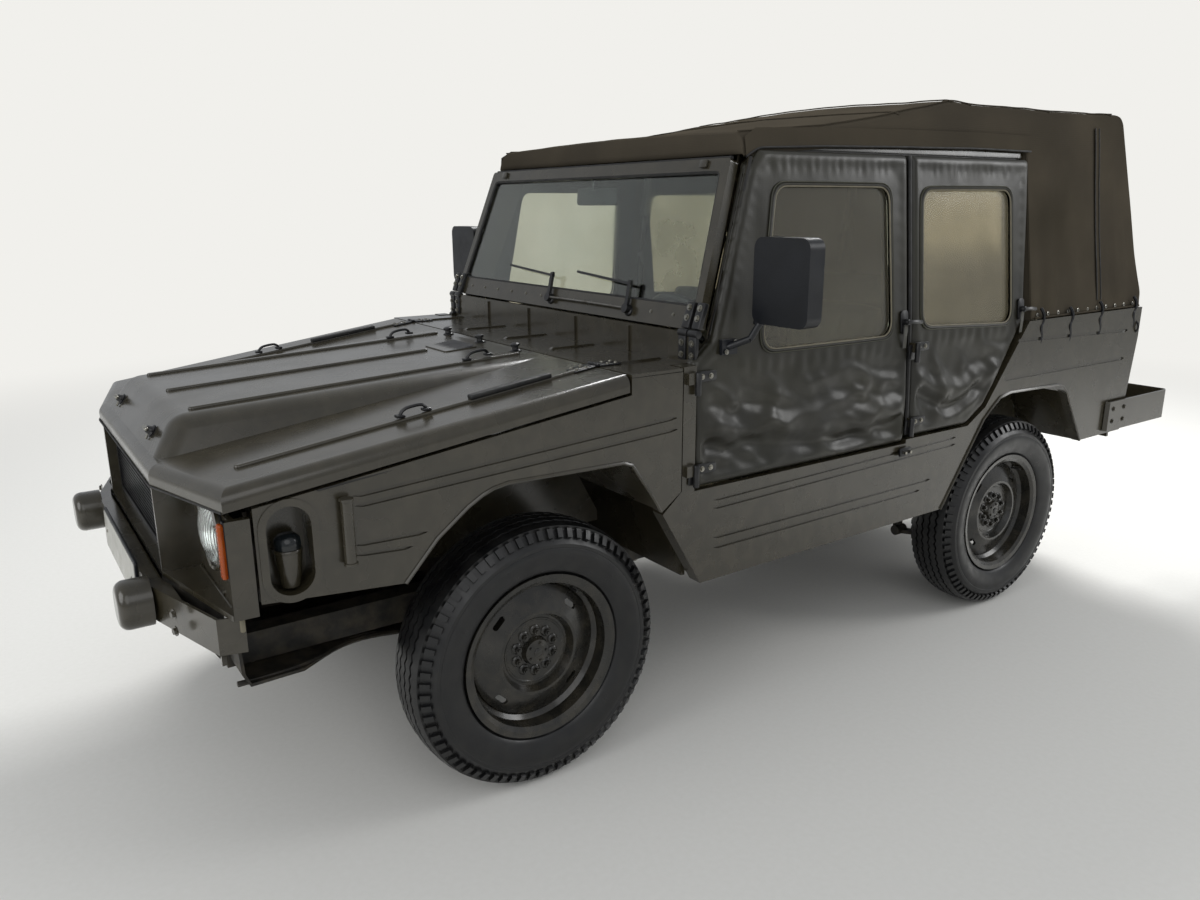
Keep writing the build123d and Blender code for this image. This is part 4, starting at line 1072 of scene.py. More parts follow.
@dataclass
class CanvasTop:
    """The folding top: one canvas over its bows, its rear curtain, flaps, straps and ties."""

    # Stations: (y, half width at the roof's edge, height of the edge, crown)
    stations: tuple[Row, ...] = (
        (664, 662, 1678, 14), (1006, 652, 1707, 16), (1331, 645, 1757, 20), (1599, 640, 1809, 28),
        (1691, 640, 1803, 24), (2151, 640, 1804, 22), (2640, 636, 1812, 14), (2800, 636, 1812, 14),
    )
    flap_edge: Line = ((655, 1611), (708, 1643), (953, 1654), (1265, 1661), (1698, 1668), (1985, 1667))
    low: Flat = (746.0, 1094.0)
    hem_z: float = 1098.0
    door_rear_y: float = 1985.0
    last_y: float = 2690.0
    turn_mm: float = 240.0
    rear_low_y: float = 2752.0
    rear_high_mm: float = 717.0
    rear_lean: float = 107.0 / 717.0
    bow_ys: Row = (664.0, 1334.0, 2006.0, 2600.0)
    sag: Row = (5.0, 8.0, 7.0)
    door_stations: int = 46
    quarter_stations: int = 25
    wall_rows: int = 26
    roof_rows: int = 18
    # The hem goes on round the rear edge by these steps
    hem_steps: Row = (8.0, 46.0)
    fold_mm: float = 9.0
    sway_mm: float = 7.0
    crease_mm: float = 15.0
    tuck_mm: float = 6.0
    curtain: Line = ((-722, 1092), (722, 1092), (618, 1792), (-618, 1792))
    window: Line = ((-380, 1290), (380, 1290), (360, 1600), (-360, 1600))
    window_corner: float = 50.0
    strap_y: float = 2440.0
    seam_ys: Row = (1331.0, 1599.0, 1694.0, 2151.0, 2600.0)
    ties: Line = ((2045, 1120), (2235, 1112), (2440, 1120), (2690, 1124))
    tie_x: float = 748.0
    tie_line: Path = (
        (0, -3, 12), (8, 0, 0), (10, 9, -20), (6, 5, -42), (9, -8, -56), (6, 12, -84), (4, 5, -112),
    )
    stud_x: float = along(((1090, 747.5), (1815, 640)), 1108)
    stud_z: float = 1108.0
    valance_z: float = 1622.0
    rail_z: float = 1660.0

    def size(self, y: float) -> tuple[float, float, float]:
        """Give the half width, edge height and crown at a station."""
        return tuple(along([(row[0], row[k]) for row in self.stations], y) for k in (1, 2, 3))

    def wall_x(self, y: float, z: float) -> float:
        """Give how far out the slanting wall stands."""
        half, edge, _ = self.size(y)
        return half + (self.low[0] - half) / (edge - self.low[1]) * (edge - z)

    def rear_y(self, z: float) -> float:
        """Give where the leaning rear face stands at a height."""
        return self.rear_low_y - self.rear_lean * (z - self.hem_z)

    def hang(self, y: float) -> float:
        """Give how far the roof sags between its bows."""
        for (a, b), depth in zip(zip(self.bow_ys, self.bow_ys[1:]), self.sag):
            if a <= y <= b:
                t = (y - a) / (b - a)
                return depth * 4 * t * (1 - t)
        return 0.0

    def line(self, y: float) -> list[Flat]:
        """Give the half section at a station, from the low edge to the middle of the roof."""
        half, edge, crown = self.size(y)
        low = self.low[1]
        flap = min(along(self.flap_edge, y), edge - 60)
        zs = [low + (flap - low) * k / self.wall_rows for k in range(self.wall_rows)]
        zs += [flap, (flap + edge - 52) / 2, edge - 52, edge - 34]
        made = [(self.wall_x(y, z), z) for z in zs]
        top = half - 26
        made += [(half - 1, edge - 17), (half - 9, edge - 5), (top, edge + 3)]
        for k in range(1, self.roof_rows + 1):
            x = top * (1 - k / self.roof_rows)
            made.append((x, edge + 3 + (crown - 3) * (1 - (x / top) ** 2)))
        return made

    def skin(self, y: float, row: int, side: int) -> Vector:
        """Give a point of the tensioned canvas with its folds.

        Args:
            y: Station.
            row: Row of the half section, from the low edge up.
            side: 1 for the left side, -1 for the right.

        Returns:
            The point.
        """
        x, z = self.line(y)[row]
        y += (self.rear_y(z) - self.last_y) * clamp((y - self.last_y + self.turn_mm) / self.turn_mm)
        seed = 7.0 * side
        if z < self.size(y)[1] - 40:
            held = clamp((1640 - z) / 480) * (1 - 0.7 * bell(z, self.hem_z, 45))
            pull = 0.55 + 0.45 * ripple(y / 150, seed)
            folds = sin(y / 24 + 2.7 * ripple(y / 90, z / 260, seed) + (z - self.hem_z) / 190)
            slanting = crease((y - self.door_rear_y) / 80 - (1700 - z) / 1300, z / 900, seed)
            x += self.fold_mm * held * pull * folds
            x += self.sway_mm * held * ripple(y / 75, z / 420, seed + 3)
            x += self.crease_mm * held * (slanting - 0.3)
            x -= self.tuck_mm * bell(z, self.hem_z, 60) * (0.5 + 0.5 * cos(y / 30))
        else:
            z -= self.hang(y) * min(1.0, max(0.0, 1 - x / 620) * 3 + 0.2)
            z += 2.2 * ripple(x / 120, y / 160, seed * (x > 30)) + 1.6 * crease(x / 260, y / 120, 4.0)
        return Vector((side * x, y, z))

    def canopy(self) -> None:
        """Sew the top itself: roof, walls, front valance and the hems round the rear."""
        front, door = self.bow_ys[0], self.door_rear_y
        ys = [front + (door - front) * k / self.door_stations for k in range(self.door_stations)]
        quarter = self.last_y - door
        ys += [door + quarter * k / self.quarter_stations for k in range(self.quarter_stations + 1)]
        extra = len(self.hem_steps)
        rows = len(self.line(front))
        last_row, last_station = 2 * (rows - 1), len(ys) + 2 * extra - 1
        bm = bmesh.new()
        bmesh.ops.create_grid(bm, x_segments=last_station, y_segments=last_row, size=0.5)

        def on_grid(spot: Vector) -> Flat:
            """Give the station and the row of a point of the grid."""
            return (spot.x + 0.5) * last_station - extra, (spot.y + 0.5) * last_row

        spots = {v: tuple(round(value) for value in on_grid(v.co)) for v in bm.verts}
        openings = []
        for face in bm.faces:
            station, row = on_grid(face.calc_center_median())
            if min(row, last_row - row) < self.wall_rows and station < self.door_stations:
                openings.append(face)
        bmesh.ops.delete(bm, geom=openings, context="FACES")
        for vert in bm.verts:
            station, row = spots[vert]
            side = 1 if row < rows else -1
            point = self.skin(ys[max(0, min(len(ys) - 1, station))], min(row, last_row - row), side)
            if station < 0 and point.z > self.valance_z:
                point.z += (self.valance_z - point.z) * -station / extra
                point.y -= 3 + 1.5 * ripple(point.x / 60, 5.0)
            if station >= len(ys):
                step = self.hem_steps[station - len(ys)]
                point.x *= 1 - step / 700
                point.z -= max(0.0, point.z - self.hem_z) * step / self.rear_high_mm
                point.y = self.rear_y(point.z) + (2.0 if step > 10 else 0.5)
            vert.co = point
        map_threads(bm, lambda v: (spots[v][0] * 28.5, spots[v][1] * 23.0))
        bmesh.ops.remove_doubles(bm, verts=bm.verts, dist=0.3)
        area = min(area_of(bm), 5.7)
        made = one_piece(bm, CANVAS, "canvas_canopy", "root", "canvas", ["canvas_top"], 60)
        thicken(made, 1.6, -1.0)

    def rear_curtain(self) -> None:
        """Hang the rear curtain, which the clear window is sewn in."""
        hole = rounded(self.window, self.window_corner)
        bm = cloth(self.curtain, hole, 22.0)
        area = min(area_of(bm), 1.05)
        map_threads(bm, lambda v: v.co.xy)
        for vert in bm.verts:
            x, z = vert.co.xy
            calm = min(1.0, clearance((x, z), hole) / 70)
            fold = 4.5 * ripple(x / 85, z / 380, 2.0) + 3.0 * crease(x / 150, z / 420, 6.0)
            vert.co = Vector((x, self.rear_y(z) - 7 + fold * calm, z))
        made = one_piece(bm, CANVAS, "rear_curtain", "root", "canvas", (), 60)
        thicken(made, 1.6)

    def side_trim(self, shape: Shape, side: Side) -> None:
        """Lay one side's drip flap, painted rail, roof piping and strap."""
        edge = []
        for k in range(34):
            y = 668 + 1336 * k / 33
            z = along(self.flap_edge, y) + 22 + 1.5 * ripple(y / 60, side.value * 3.0)
            edge.append(side.at(self.wall_x(y, z) + 6.5, y, z))
        shape.take(ribbon(edge, (side.x(0.17), 0, -1), 52, 3.0), CANVAS)
        shape.take(wire([(x + side.x(4.0), y, z - 26) for x, y, z in edge], 3.2), RUBBER)
        rail = [(x - side.x(13), y, self.rail_z) for x, y, _ in edge[1:]]
        shape.take(ribbon(rail, (side.x(0.15), 0, -1), 34, 3.0), PAINT)
        ridge = [self.skin(672 + 1968 * k / 60, self.wall_rows + 6, side.value) for k in range(61)]
        shape.take(wire([(p.x + side.x(1.0), p.y, p.z + 1.0) for p in ridge], 2.6), CANVAS)
        fall = [self.skin(self.strap_y, row, side.value) for row in range(2, self.wall_rows + 4, 2)]
        strap = [(p.x + side.x(5.0), p.y + 8 * sin(p.z / 260), p.z) for p in fall]
        shape.take(ribbon(strap, REARWARD, 30, 2.4), CANVAS)
        for shift in (-13, 13):
            shape.take(wire([(x + side.x(1.4), y + shift, z) for x, y, z in strap], 2.2), RUBBER)

    def hem_trim(self, shape: Shape, side: Side) -> None:
        """Knot one side's black ties through their eyelets, and set the studs of the hem."""
        for y, z in self.ties:
            shape.take(wire(side.line(self.tie_line, (self.tie_x, y, z)), 6.0), PLASTIC)
        stud = turned([(3, -0.5), (3, 1.4), (6, 1.6), (8, 0.6), (8, -0.5)], 14, True)
        way = (side.value, 0, 0.15)
        spots = [place(side.at(self.stud_x, y, self.stud_z), way) for y in range(2030, 2691, 66)]
        shape.take(stud, ZINC, *spots)

    def trim(self) -> None:
        """Lay the drip flaps, seam piping, straps, ties, studs and window binding."""
        shape = Shape()
        for side in Side:
            self.side_trim(shape, side)
            self.hem_trim(shape, side)
        for y in self.seam_ys:
            seam = [self.skin(y, row, 1) for row in range(self.wall_rows + 5, len(self.line(y)))]
            seam += [Vector((-p.x, p.y, p.z)) for p in reversed(seam[:-1])]
            shape.take(wire([(p.x, p.y, p.z + 1.6) for p in seam], 2.4), CANVAS)
        binding = [(x, self.rear_y(z) + 1.5, z) for x, z in rounded(self.window, self.window_corner)]
        shape.take(wire(binding, 7.0, closed=True), CANVAS)
        shape.piece("canvas_trim", "root", "canvas", (), 50)

    def build(self) -> None:
        """Make the whole top."""
        self.canopy()
        self.rear_curtain()
        self.trim()


@dataclass
class CanvasDoor(CornerPart):
    """One door: coated cloth drawn over a tube frame, with its clear window and ironwork."""

    outline: Line
    window: Line
    hinges: tuple[float, ...]
    hinge_y: float
    pleats: tuple[float, float]
    swag: float
    handle_inset: float
    # The door's outer face: (height, distance from the middle)
    face: Line = ((700, 757), (900, 757), (1104, 743), (1640, 690))
    thick: float = 38.0
    spacing: float = 14.0
    inner_spacing: float = 30.0
    window_corner: float = 45.0
    hem_mm: float = 17.0
    hinge_x: float = 770.0
    handle_z: float = 1136.0
    fold_mm: float = 17.0
    bend_mm: float = 9.0
    wrinkle_mm: float = 2.5
    gather_mm: float = 2.6
    roll_mm: float = 15.0
    tuck_mm: float = 14.0
    upper_mm: float = 3.4
    pleat_mm: float = 3.2
    stitch_mm: float = 1.6

    def slack(self, y: float, z: float, seed: float) -> float:
        """Give the low part's broad folds and the roll that hangs across it."""
        span = (y - self.outline[0][0]) / (self.outline[1][0] - self.outline[0][0])
        warp = 0.6 * ripple(y / 240, z / 200, seed)
        folds = self.fold_mm * (crease(y / 250 + warp + z / 330, z / 140 - span, seed) - 0.45)
        folds += self.bend_mm * (crease(y / 150 - warp + z / 120, z / 130 + span * 1.6, seed + 4) - 0.45)
        folds += self.wrinkle_mm * (crease(y / 70 + warp, z / 60 - span, seed + 9) - 0.45)
        line = self.swag + 46 * sin(span * 5.2 + self.side.value) * (0.6 + 0.4 * ripple(y / 90, seed))
        return folds + self.roll_mm * bell(z, line + 34, 52) - self.tuck_mm * bell(z, line - 20, 34)

    def relief(self, y: float, z: float) -> float:
        """Give how far the outer cloth stands off its flat place.

        Args:
            y: Place along the car.
            z: Height.

        Returns:
            Millimetres outwards.
        """
        seed = 11.0 * self.side.value + 5.0 * self.end.value
        rim = clearance((y, z), self.outline)
        pane = clearance((y, z), self.window) if not inside((y, z), self.window) else 0.0
        calm = min(1.0, pane / 60) * clamp((rim - 14) / 30)
        low = clamp((1075 - z) / 120)
        warp = 0.6 * ripple(y / 240, z / 200, seed)
        hollow = (4.0 * ripple(y / 160 + warp, z / 120, seed + 2) - 4.5) * (0.4 + 0.6 * low)
        upper = self.upper_mm * ripple(y / 60, z / 240, seed + 6) * (1 - low)
        stitched = self.stitch_mm * sin((y + z) * tau / 46) * bell(rim, 34, 16)
        tube = 2.5 * bell(rim, 17, 15) - 7 * bell(rim, 0, 10)
        out = tube + calm * (hollow + low * self.slack(y, z, seed) + upper + stitched)
        if self.pleats[0] < y < self.pleats[1]:
            out += self.pleat_mm * sin(y * tau / 33) * bell(z, 1596, 26)
        if pane < 95:
            gathers = sin(y * tau / 47 + 3 * warp)
            out += self.gather_mm * gathers * bell(z, self.window[0][1] - 42, 40)
        return out

    def spot(self, y: float, z: float, out: float) -> Vector:
        """Put a point of the door's face in the car."""
        return Vector(self.side.at(along(self.face, z) + out, y, z))

    def skin(self, outer: bool) -> None:
        """Draw the outer or inner cloth over the frame.

        Args:
            outer: Whether it is the side that faces the weather.
        """
        hole = rounded(self.window, self.window_corner)
        bm = cloth(self.outline, hole, self.spacing if outer else self.inner_spacing)
        area = area_of(bm)
        flat = {vert: tuple(vert.co.xy) for vert in bm.verts}
        for vert, (y, z) in flat.items():
            if outer:
                out = self.relief(y, z) - 1.5
            else:
                calm = min(1.0, clearance((y, z), self.outline) / 40)
                out = 2.5 - self.thick + 2.5 * ripple(y / 90, z / 130, 8.0) * calm
            vert.co = self.spot(y, z, out)
        rim = [e for e in bm.edges if e.is_boundary and clearance(flat[e.verts[0]], self.outline) < 1.0]
        area += sum(e.calc_length() for e in rim) * self.hem_mm / METRE**2
        for vert in verts_of(bmesh.ops.extrude_edge_only(bm, edges=rim)):
            near = next(v for v in (e.other_vert(vert) for e in vert.link_edges) if v in flat)
            flat[vert] = (flat[near][0] + 9.0, flat[near][1])
            vert.co.x += self.side.x(-self.hem_mm if outer else self.hem_mm)
        map_threads(bm, lambda v: flat[v])
        solid = f"door_{self.name}"
        name = f"door_cloth_{'outer' if outer else 'inner'}_{self.name}"
        piece = one_piece(bm, DOOR_CLOTH, name, solid, "canvas", [solid] if outer else [], 60)
        thicken(piece, 1.2, smooth=outer)

    def ironwork(self) -> None:
        """Make the hinges and the binding round the window."""
        shape = Shape()
        side = self.side
        ring = rounded(self.window, self.window_corner + 6, 6)
        middle = sum((Vector(p) for p in ring), Vector((0, 0))) / len(ring)
        for grow, thick, finish in ((8, 4.0, DOOR_CLOTH), (16, 1.8, SEAT_VINYL), (1, 2.6, EDGE_TAPE)):
            grown = [Vector(p) + (Vector(p) - middle).normalized() * grow for p in ring]
            shape.take(wire([self.spot(p.x, p.y, 1.5) for p in grown], thick, closed=True), finish)
        for z in self.hinges:
            barrel = [side.at(self.hinge_x, self.hinge_y, z + dz) for dz in (-30, 31)]
            shape.take(rod(*barrel, 8.5, 16, round_mm=1), ENAMEL)
            x = 759.5 if z < 950 else 752.0
            leaf = [(side.x(along_y), up) for along_y, up in ((0, -15), (74, -13), (74, 13), (0, 15))]
            spot = side.stand(x, self.hinge_y + 2, z + 15)
            shape.take(plate(rounded(leaf, 6), 3.5, 0.8), ENAMEL, spot)
            heads = [side.stand(x + 3, self.hinge_y + dy, z + 15) for dy in (26, 56)]
            shape.take(bolt(5.5, 4.5), ZINC, *heads)
        shape.piece(f"door_ironwork_{self.name}", f"door_{self.name}", "black_metal")

    def handle(self) -> None:
        """Make the hooked handle on its plate, with the pull strap."""
        shape = Shape()
        side = self.side
        y, z = max(p[0] for p in self.outline) - self.handle_inset, self.handle_z
        x = along(self.face, z)
        base = place(side.at(x, y, z), (side.value, 0, 0.1))
        shape.take(plate(tablet(17, 36, 12), 5, 1.2), ENAMEL, base)
        shape.take(rod(side.at(x, y, z), side.at(x + 22, y, z + 2), 11, 18, 9, 2), ENAMEL)
        grip = [(20, -6, 2), (27, 14, 3), (25, 42, 1), (20, 62, -2)]
        shape.take(wire(side.line(grip, (x, y, z)), 6.5, 10), ENAMEL)
        tail = [(14, -2, -6), (16, -6, -40), (12, -2, -78)]
        shape.take(ribbon(side.line(tail, (x, y, z)), REARWARD, 16, 2), WEBBING)
        shape.piece(f"door_handle_{self.name}", f"door_{self.name}", "black_metal")

    def build(self) -> None:
        """Make the whole door."""
        self.skin(True)
        self.skin(False)
        self.ironwork()
        self.handle()


def all_doors() -> list[CanvasDoor]:
    """List the four doors, each with its own outline."""
    doors = []
    for side in Side:
        doors.append(CanvasDoor(
            End.FRONT, side,
            outline=(
                (451, 752), (1323, 752), (1323, 1634), (712, 1634), (668, 1590), (530, 1180), (516, 1140),
                (451, 1090),
            ),
            window=((690, 1104), (1236, 1100), (1229, 1540), (760, 1540)),
            hinges=(790, 1040), hinge_y=440.0, pleats=(740, 1260), swag=852.0, handle_inset=28.0,
        ))
        doors.append(CanvasDoor(
            End.REAR, side,
            outline=((1347, 765), (1652, 765), (1740, 818), (1953, 1104), (1966, 1634), (1347, 1634)),
            window=((1390, 1118), (1868, 1094), (1853, 1534), (1390, 1532)),
            hinges=(800, 1040), hinge_y=1337.0, pleats=(1400, 1840), swag=880.0, handle_inset=42.0,
        ))
    return doors


# Wheels


@dataclass
class RoadTyre(CornerPart):
    """A ribbed road tyre with zig-zag grooves and shoulder lugs."""

    centre: Point
    steps: int = 144
    zigzag_mm: float = 3.4
    groove_mm: float = 8.0
    groove_xs: Row = (-39.0, -13.5, 13.5, 39.0)
    lug_mm: float = 9.0
    crown_radius: float = 360.6
    tread_half: float = 65.0
    # Half of the casing from the bead out: (distance from the middle, radius)
    wall: Line = (
        (57, 206), (58.5, 214), (62, 226), (66, 231), (68.5, 232.5), (71, 231), (73, 233), (78, 241),
        (84, 258), (88.5, 274), (89.6, 286), (88.6, 297), (87.6, 299), (88.6, 301), (88.0, 309), (86.4, 311),
        (84, 315),
    )
    shoulder: Line = ((77.5, 321), (71.5, 332), (65.0, 342), (65, 351.5))

    def crown(self, x: float) -> Flat:
        """Give the tread's point at a distance from its middle."""
        return x, self.crown_radius - 9.0 * (abs(x) / self.tread_half) ** 2.4

    def section(self) -> list[Flat]:
        """Give the casing's whole section, from bead to bead."""
        half = [*self.wall, *self.shoulder]
        tread = [self.crown(x) for x in (-60, -51)]
        for middle in self.groove_xs:
            deep = self.crown(middle)[1] - self.groove_mm
            tread += [self.crown(middle - 3.4), (middle - 2.4, deep), (middle + 2.4, deep)]
            tread += [self.crown(middle + 3.4), self.crown(middle + 12.8)]
        return [(-x, r) for x, r in half] + sorted(tread, key=lambda p: p[0]) + half[::-1]

    def step_of(self, spot: Vector) -> float:
        """Give how many steps round the wheel a point stands."""
        return atan2(spot.y, spot.z) % tau / tau * self.steps

    def raise_lugs(self, bm: Part) -> None:
        """Raise every other step of the shoulder to a lug."""
        lugs = []
        for face in bm.faces:
            middle = face.calc_center_median()
            on_shoulder = 66 < abs(middle.x) < 84 and 318 < middle.yz.length < 350
            if on_shoulder and int(self.step_of(middle)) % 2:
                lugs.append(face)
        for vert in verts_of(bmesh.ops.extrude_face_region(bm, geom=lugs)):
            spoke = Vector((0, vert.co.y, vert.co.z)).normalized()
            vert.co += (spoke * 0.6 + Vector((copysign(0.8, vert.co.x), 0, 0))) * self.lug_mm
        bmesh.ops.delete(bm, geom=lugs, context="FACES_ONLY")

    def bend_grooves(self, bm: Part) -> None:
        """Shift every other step of the tread, so that the grooves run in zig-zags."""
        for vert in bm.verts:
            if vert.co.yz.length > 346 and abs(vert.co.x) < 49:
                vert.co.x += self.zigzag_mm * (1 if round(self.step_of(vert.co)) % 2 else -1)

    def build(self) -> None:
        """Turn the casing, raise its lugs and bend its grooves."""
        bm = spun([(x, 0, r) for x, r in self.section()], (1, 0, 0), self.steps, True)
        self.raise_lugs(bm)
        self.bend_grooves(bm)
        bm.transform(Matrix.Translation(self.centre))
        name, body, solid = (f"{word}_{self.name}" for word in ("road_tyre", "wheel", "tyre"))
        one_piece(bm, TYRE_RUBBER, name, body, "tyre_rubber", [solid], 30)


@dataclass
class WheelFittings(CornerPart):
    """Nuts, hub bolts, cap and valve on one wheel."""

    centre: Point
    nut_ring_mm: float = 57.0
    nut_count: int = 10
    bolt_ring_mm: float = 25.0
    bolt_count: int = 5
    face_x: float = 24.0
    hub_x: float = 42.0
    valve_ring_mm: float = 187.0

    def at(self, x: float, radius: float, turn: float) -> Matrix:
        """Stand a part on the wheel's outer face."""
        y, z = radius * cos(turn), radius * sin(turn)
        spot = Vector(self.centre) + Vector((self.side.x(x), y, z))
        return place(spot, self.side.out, (0, y or 1, z))

    def build(self) -> None:
        """Fit the wheel's small ironwork."""
        shape = Shape()
        turns = [tau * k / self.nut_count + 0.3 for k in range(self.nut_count)]
        nuts = [self.at(self.face_x, self.nut_ring_mm, turn) for turn in turns]
        seat = turned([(6, -0.5), (15, -0.5), (15, 1.5), (12, 4), (9, 5), (6, 5)], 18, True)
        shape.take(seat, WHEEL_ENAMEL, *nuts)
        shape.take(rod((0, 0, 2), (0, 0, 14), 9.5, 6, 9.0), WHEEL_ENAMEL, *nuts)
        shape.take(rod((0, 0, 12), (0, 0, 18), 5.5, 10, 4.5), WHEEL_ENAMEL, *nuts)
        turns = [tau * k / self.bolt_count for k in range(self.bolt_count)]
        heads = [self.at(self.hub_x - 0.5, self.bolt_ring_mm, turn) for turn in turns]
        shape.take(bolt(3.6, 3.0), WHEEL_ENAMEL, *heads)
        cap = turned([(0, 3.5), (9, 3), (12, 1), (12.5, -1), (0, -1)], 20)
        shape.take(cap, WHEEL_ENAMEL, self.at(self.hub_x, 0, 0))
        bead = turned([(84, -0.5), (86, 1.2), (90, 1.2), (92, -0.5)], 48, True)
        shape.take(bead, WHEEL_ENAMEL, self.at(self.face_x, 0, 0))
        valve = rod((0, 0, -6), (0, 0, 30), 3.6, 10, 3.2, 0.6)
        shape.take(valve, RUBBER, self.at(self.face_x, self.valve_ring_mm, 0.9))
        shape.piece(f"wheel_ironwork_{self.name}", f"wheel_{self.name}", "olive_paint")


def all_wheels() -> list[RoadTyre | WheelFittings]:
    """List the four tyres and their ironwork."""
    made: list[RoadTyre | WheelFittings] = []
    for side in Side:
        for end, x, y in ((End.FRONT, 625.0, 0.0), (End.REAR, 630.0, 2017.0)):
            centre = side.at(x, y, 361.0)
            made += [RoadTyre(end, side, centre), WheelFittings(end, side, centre)]
    return made


# Padding


@dataclass(frozen=True)
class Pad:
    """One seat cushion or back: its middle, its size and its tilt."""

    name: str
    middle: Point
    size: Point
    tilt_deg: float
    channels: int
    fill: float = 0.55


@dataclass
class SeatSet:
    """The two front seats and the rear bench, padded and covered in vinyl."""

    pads: tuple[Pad, ...] = (
        Pad("seat_cushion_front_left", (350, 1105, 685), (430, 450, 100), 0, 3),
        Pad("seat_cushion_front_right", (-350, 1105, 685), (430, 450, 100), 0, 3),
        Pad("seat_back_front_left", (350, 1385, 966), (430, 450, 74), 75.0, 3),
        Pad("seat_back_front_right", (-350, 1385, 966), (430, 450, 74), 75.0, 3),
        Pad("bench_cushion", (0, 1820, 745), (960, 320, 110), 0, 6),
        Pad("bench_back", (0, 2045, 1018), (960, 425, 74), 78.0, 6),
    )
    shrink_mm: float = 10.0
    voxel_mm: float = 11.0
    frames: int = 20
    pressure: float = 4.0
    cap_mm: float = 16.0
    seam_mm: float = 7.0

    def start(self, pad: Pad) -> Part:
        """Cut the pad's foam, a little under its finished size."""
        bm = bmesh.new()
        bmesh.ops.create_cube(bm, size=1.0)
        bmesh.ops.subdivide_edges(bm, edges=bm.edges[:], cuts=9, use_grid_fill=True)
        half = [s / 2 - self.shrink_mm * share for s, share in zip(pad.size, (0.4, 0.4, 0.8))]
        for vert in bm.verts:
            q = vert.co * 2
            round_off = 1 - 0.06 * abs(q.x * q.y) ** 3 - 0.10 * abs(q.z) ** 3 * max(abs(q.x), abs(q.y)) ** 6
            crown = 0.80 + 0.20 * (1 - q.x**4) * (1 - q.y**4)
            vert.co = Vector((q.x * half[0] * round_off, q.y * half[1] * round_off, q.z * half[2] * crown))
        return bm

    def solid_mesh(self, holder: Piece) -> bpy.types.Mesh:
        """Give an object's mesh with its modifiers worked out."""
        graph = bpy.context.evaluated_depsgraph_get()
        return bpy.data.meshes.new_from_object(holder.evaluated_get(graph))

    def inflate(self, bm: Part) -> Part:
        """Swell the cover under pressure, as foam does.

        Args:
            bm: The foam, in millimetres; it is freed.

        Returns:
            The swollen cover.
        """
        bm.transform(Matrix.Scale(1 / METRE, 4))
        mesh = mesh_of(bm, "foam")
        holder = bpy.data.objects.new("foam", mesh)
        scene = bpy.context.scene
        scene.collection.objects.link(holder)
        modify(holder, "REMESH", mode="VOXEL", voxel_size=self.voxel_mm / METRE)
        even = self.solid_mesh(holder)
        holder.modifiers.clear()
        holder.data = even
        still = [vert.co.copy() for vert in even.vertices]
        cover = modify(holder, "CLOTH")
        cover.settings.use_pressure = True
        cover.settings.uniform_pressure_force = self.pressure
        cover.settings.effector_weights.gravity = 0
        for number in range(1, self.frames + 1):
            scene.frame_set(number)
        swollen = self.solid_mesh(holder)
        for vert, old in zip(swollen.vertices, still):
            move = vert.co - old
            if move.length > self.cap_mm / METRE:
                vert.co = old + move.normalized() * self.cap_mm / METRE
        made = bmesh.new()
        made.from_mesh(swollen)
        made.transform(Matrix.Scale(METRE, 4))
        bpy.data.objects.remove(holder)
        for used in (mesh, even, swollen):
            bpy.data.meshes.remove(used)
        scene.frame_set(1)
        return made

    def sew(self, bm: Part, pad: Pad) -> None:
        """Pull in the sewn channels and the seam round the edge."""
        width, length, _ = pad.size
        pitch = width * 0.78 / pad.channels
        for vert in bm.verts:
            x, y, z = vert.co
            off = (x / pitch + pad.channels / 2) % 1
            channel = bell(min(off, 1 - off) * pitch, 0, 15) * clamp((1.15 - abs(y) / (length * 0.46)) * 8)
            pull = self.seam_mm * (channel * (abs(x) < width * 0.40) + 0.8 * bell(abs(x), width * 0.41, 12))
            vert.co.z += 1.6 * ripple(x / 55, y / 70, pad.middle[0] / 90 + 3) - copysign(pull, z)
            side = bell(z, 0, 9) * 4.0
            if abs(x) > width * 0.44:
                vert.co.x -= copysign(side, x)
            if abs(y) > length * 0.44:
                vert.co.y -= copysign(side, y)

    def build(self) -> None:
        """Make every pad and set it on its frame."""
        for number, pad in enumerate(self.pads):
            bm = self.start(pad)
            bm = self.inflate(bm)
            self.sew(bm, pad)
            bm.transform(Matrix.Translation(pad.middle) @ Matrix.Rotation(radians(pad.tilt_deg), 4, "X"))
            replaces = ["seat_cushions"] if number == 0 else []
            made = one_piece(bm, SEAT_VINYL, pad.name, "root", "seat_cloth", replaces, 70)
            modify(made, "SUBSURF", levels=1, render_levels=1)


# Lamps


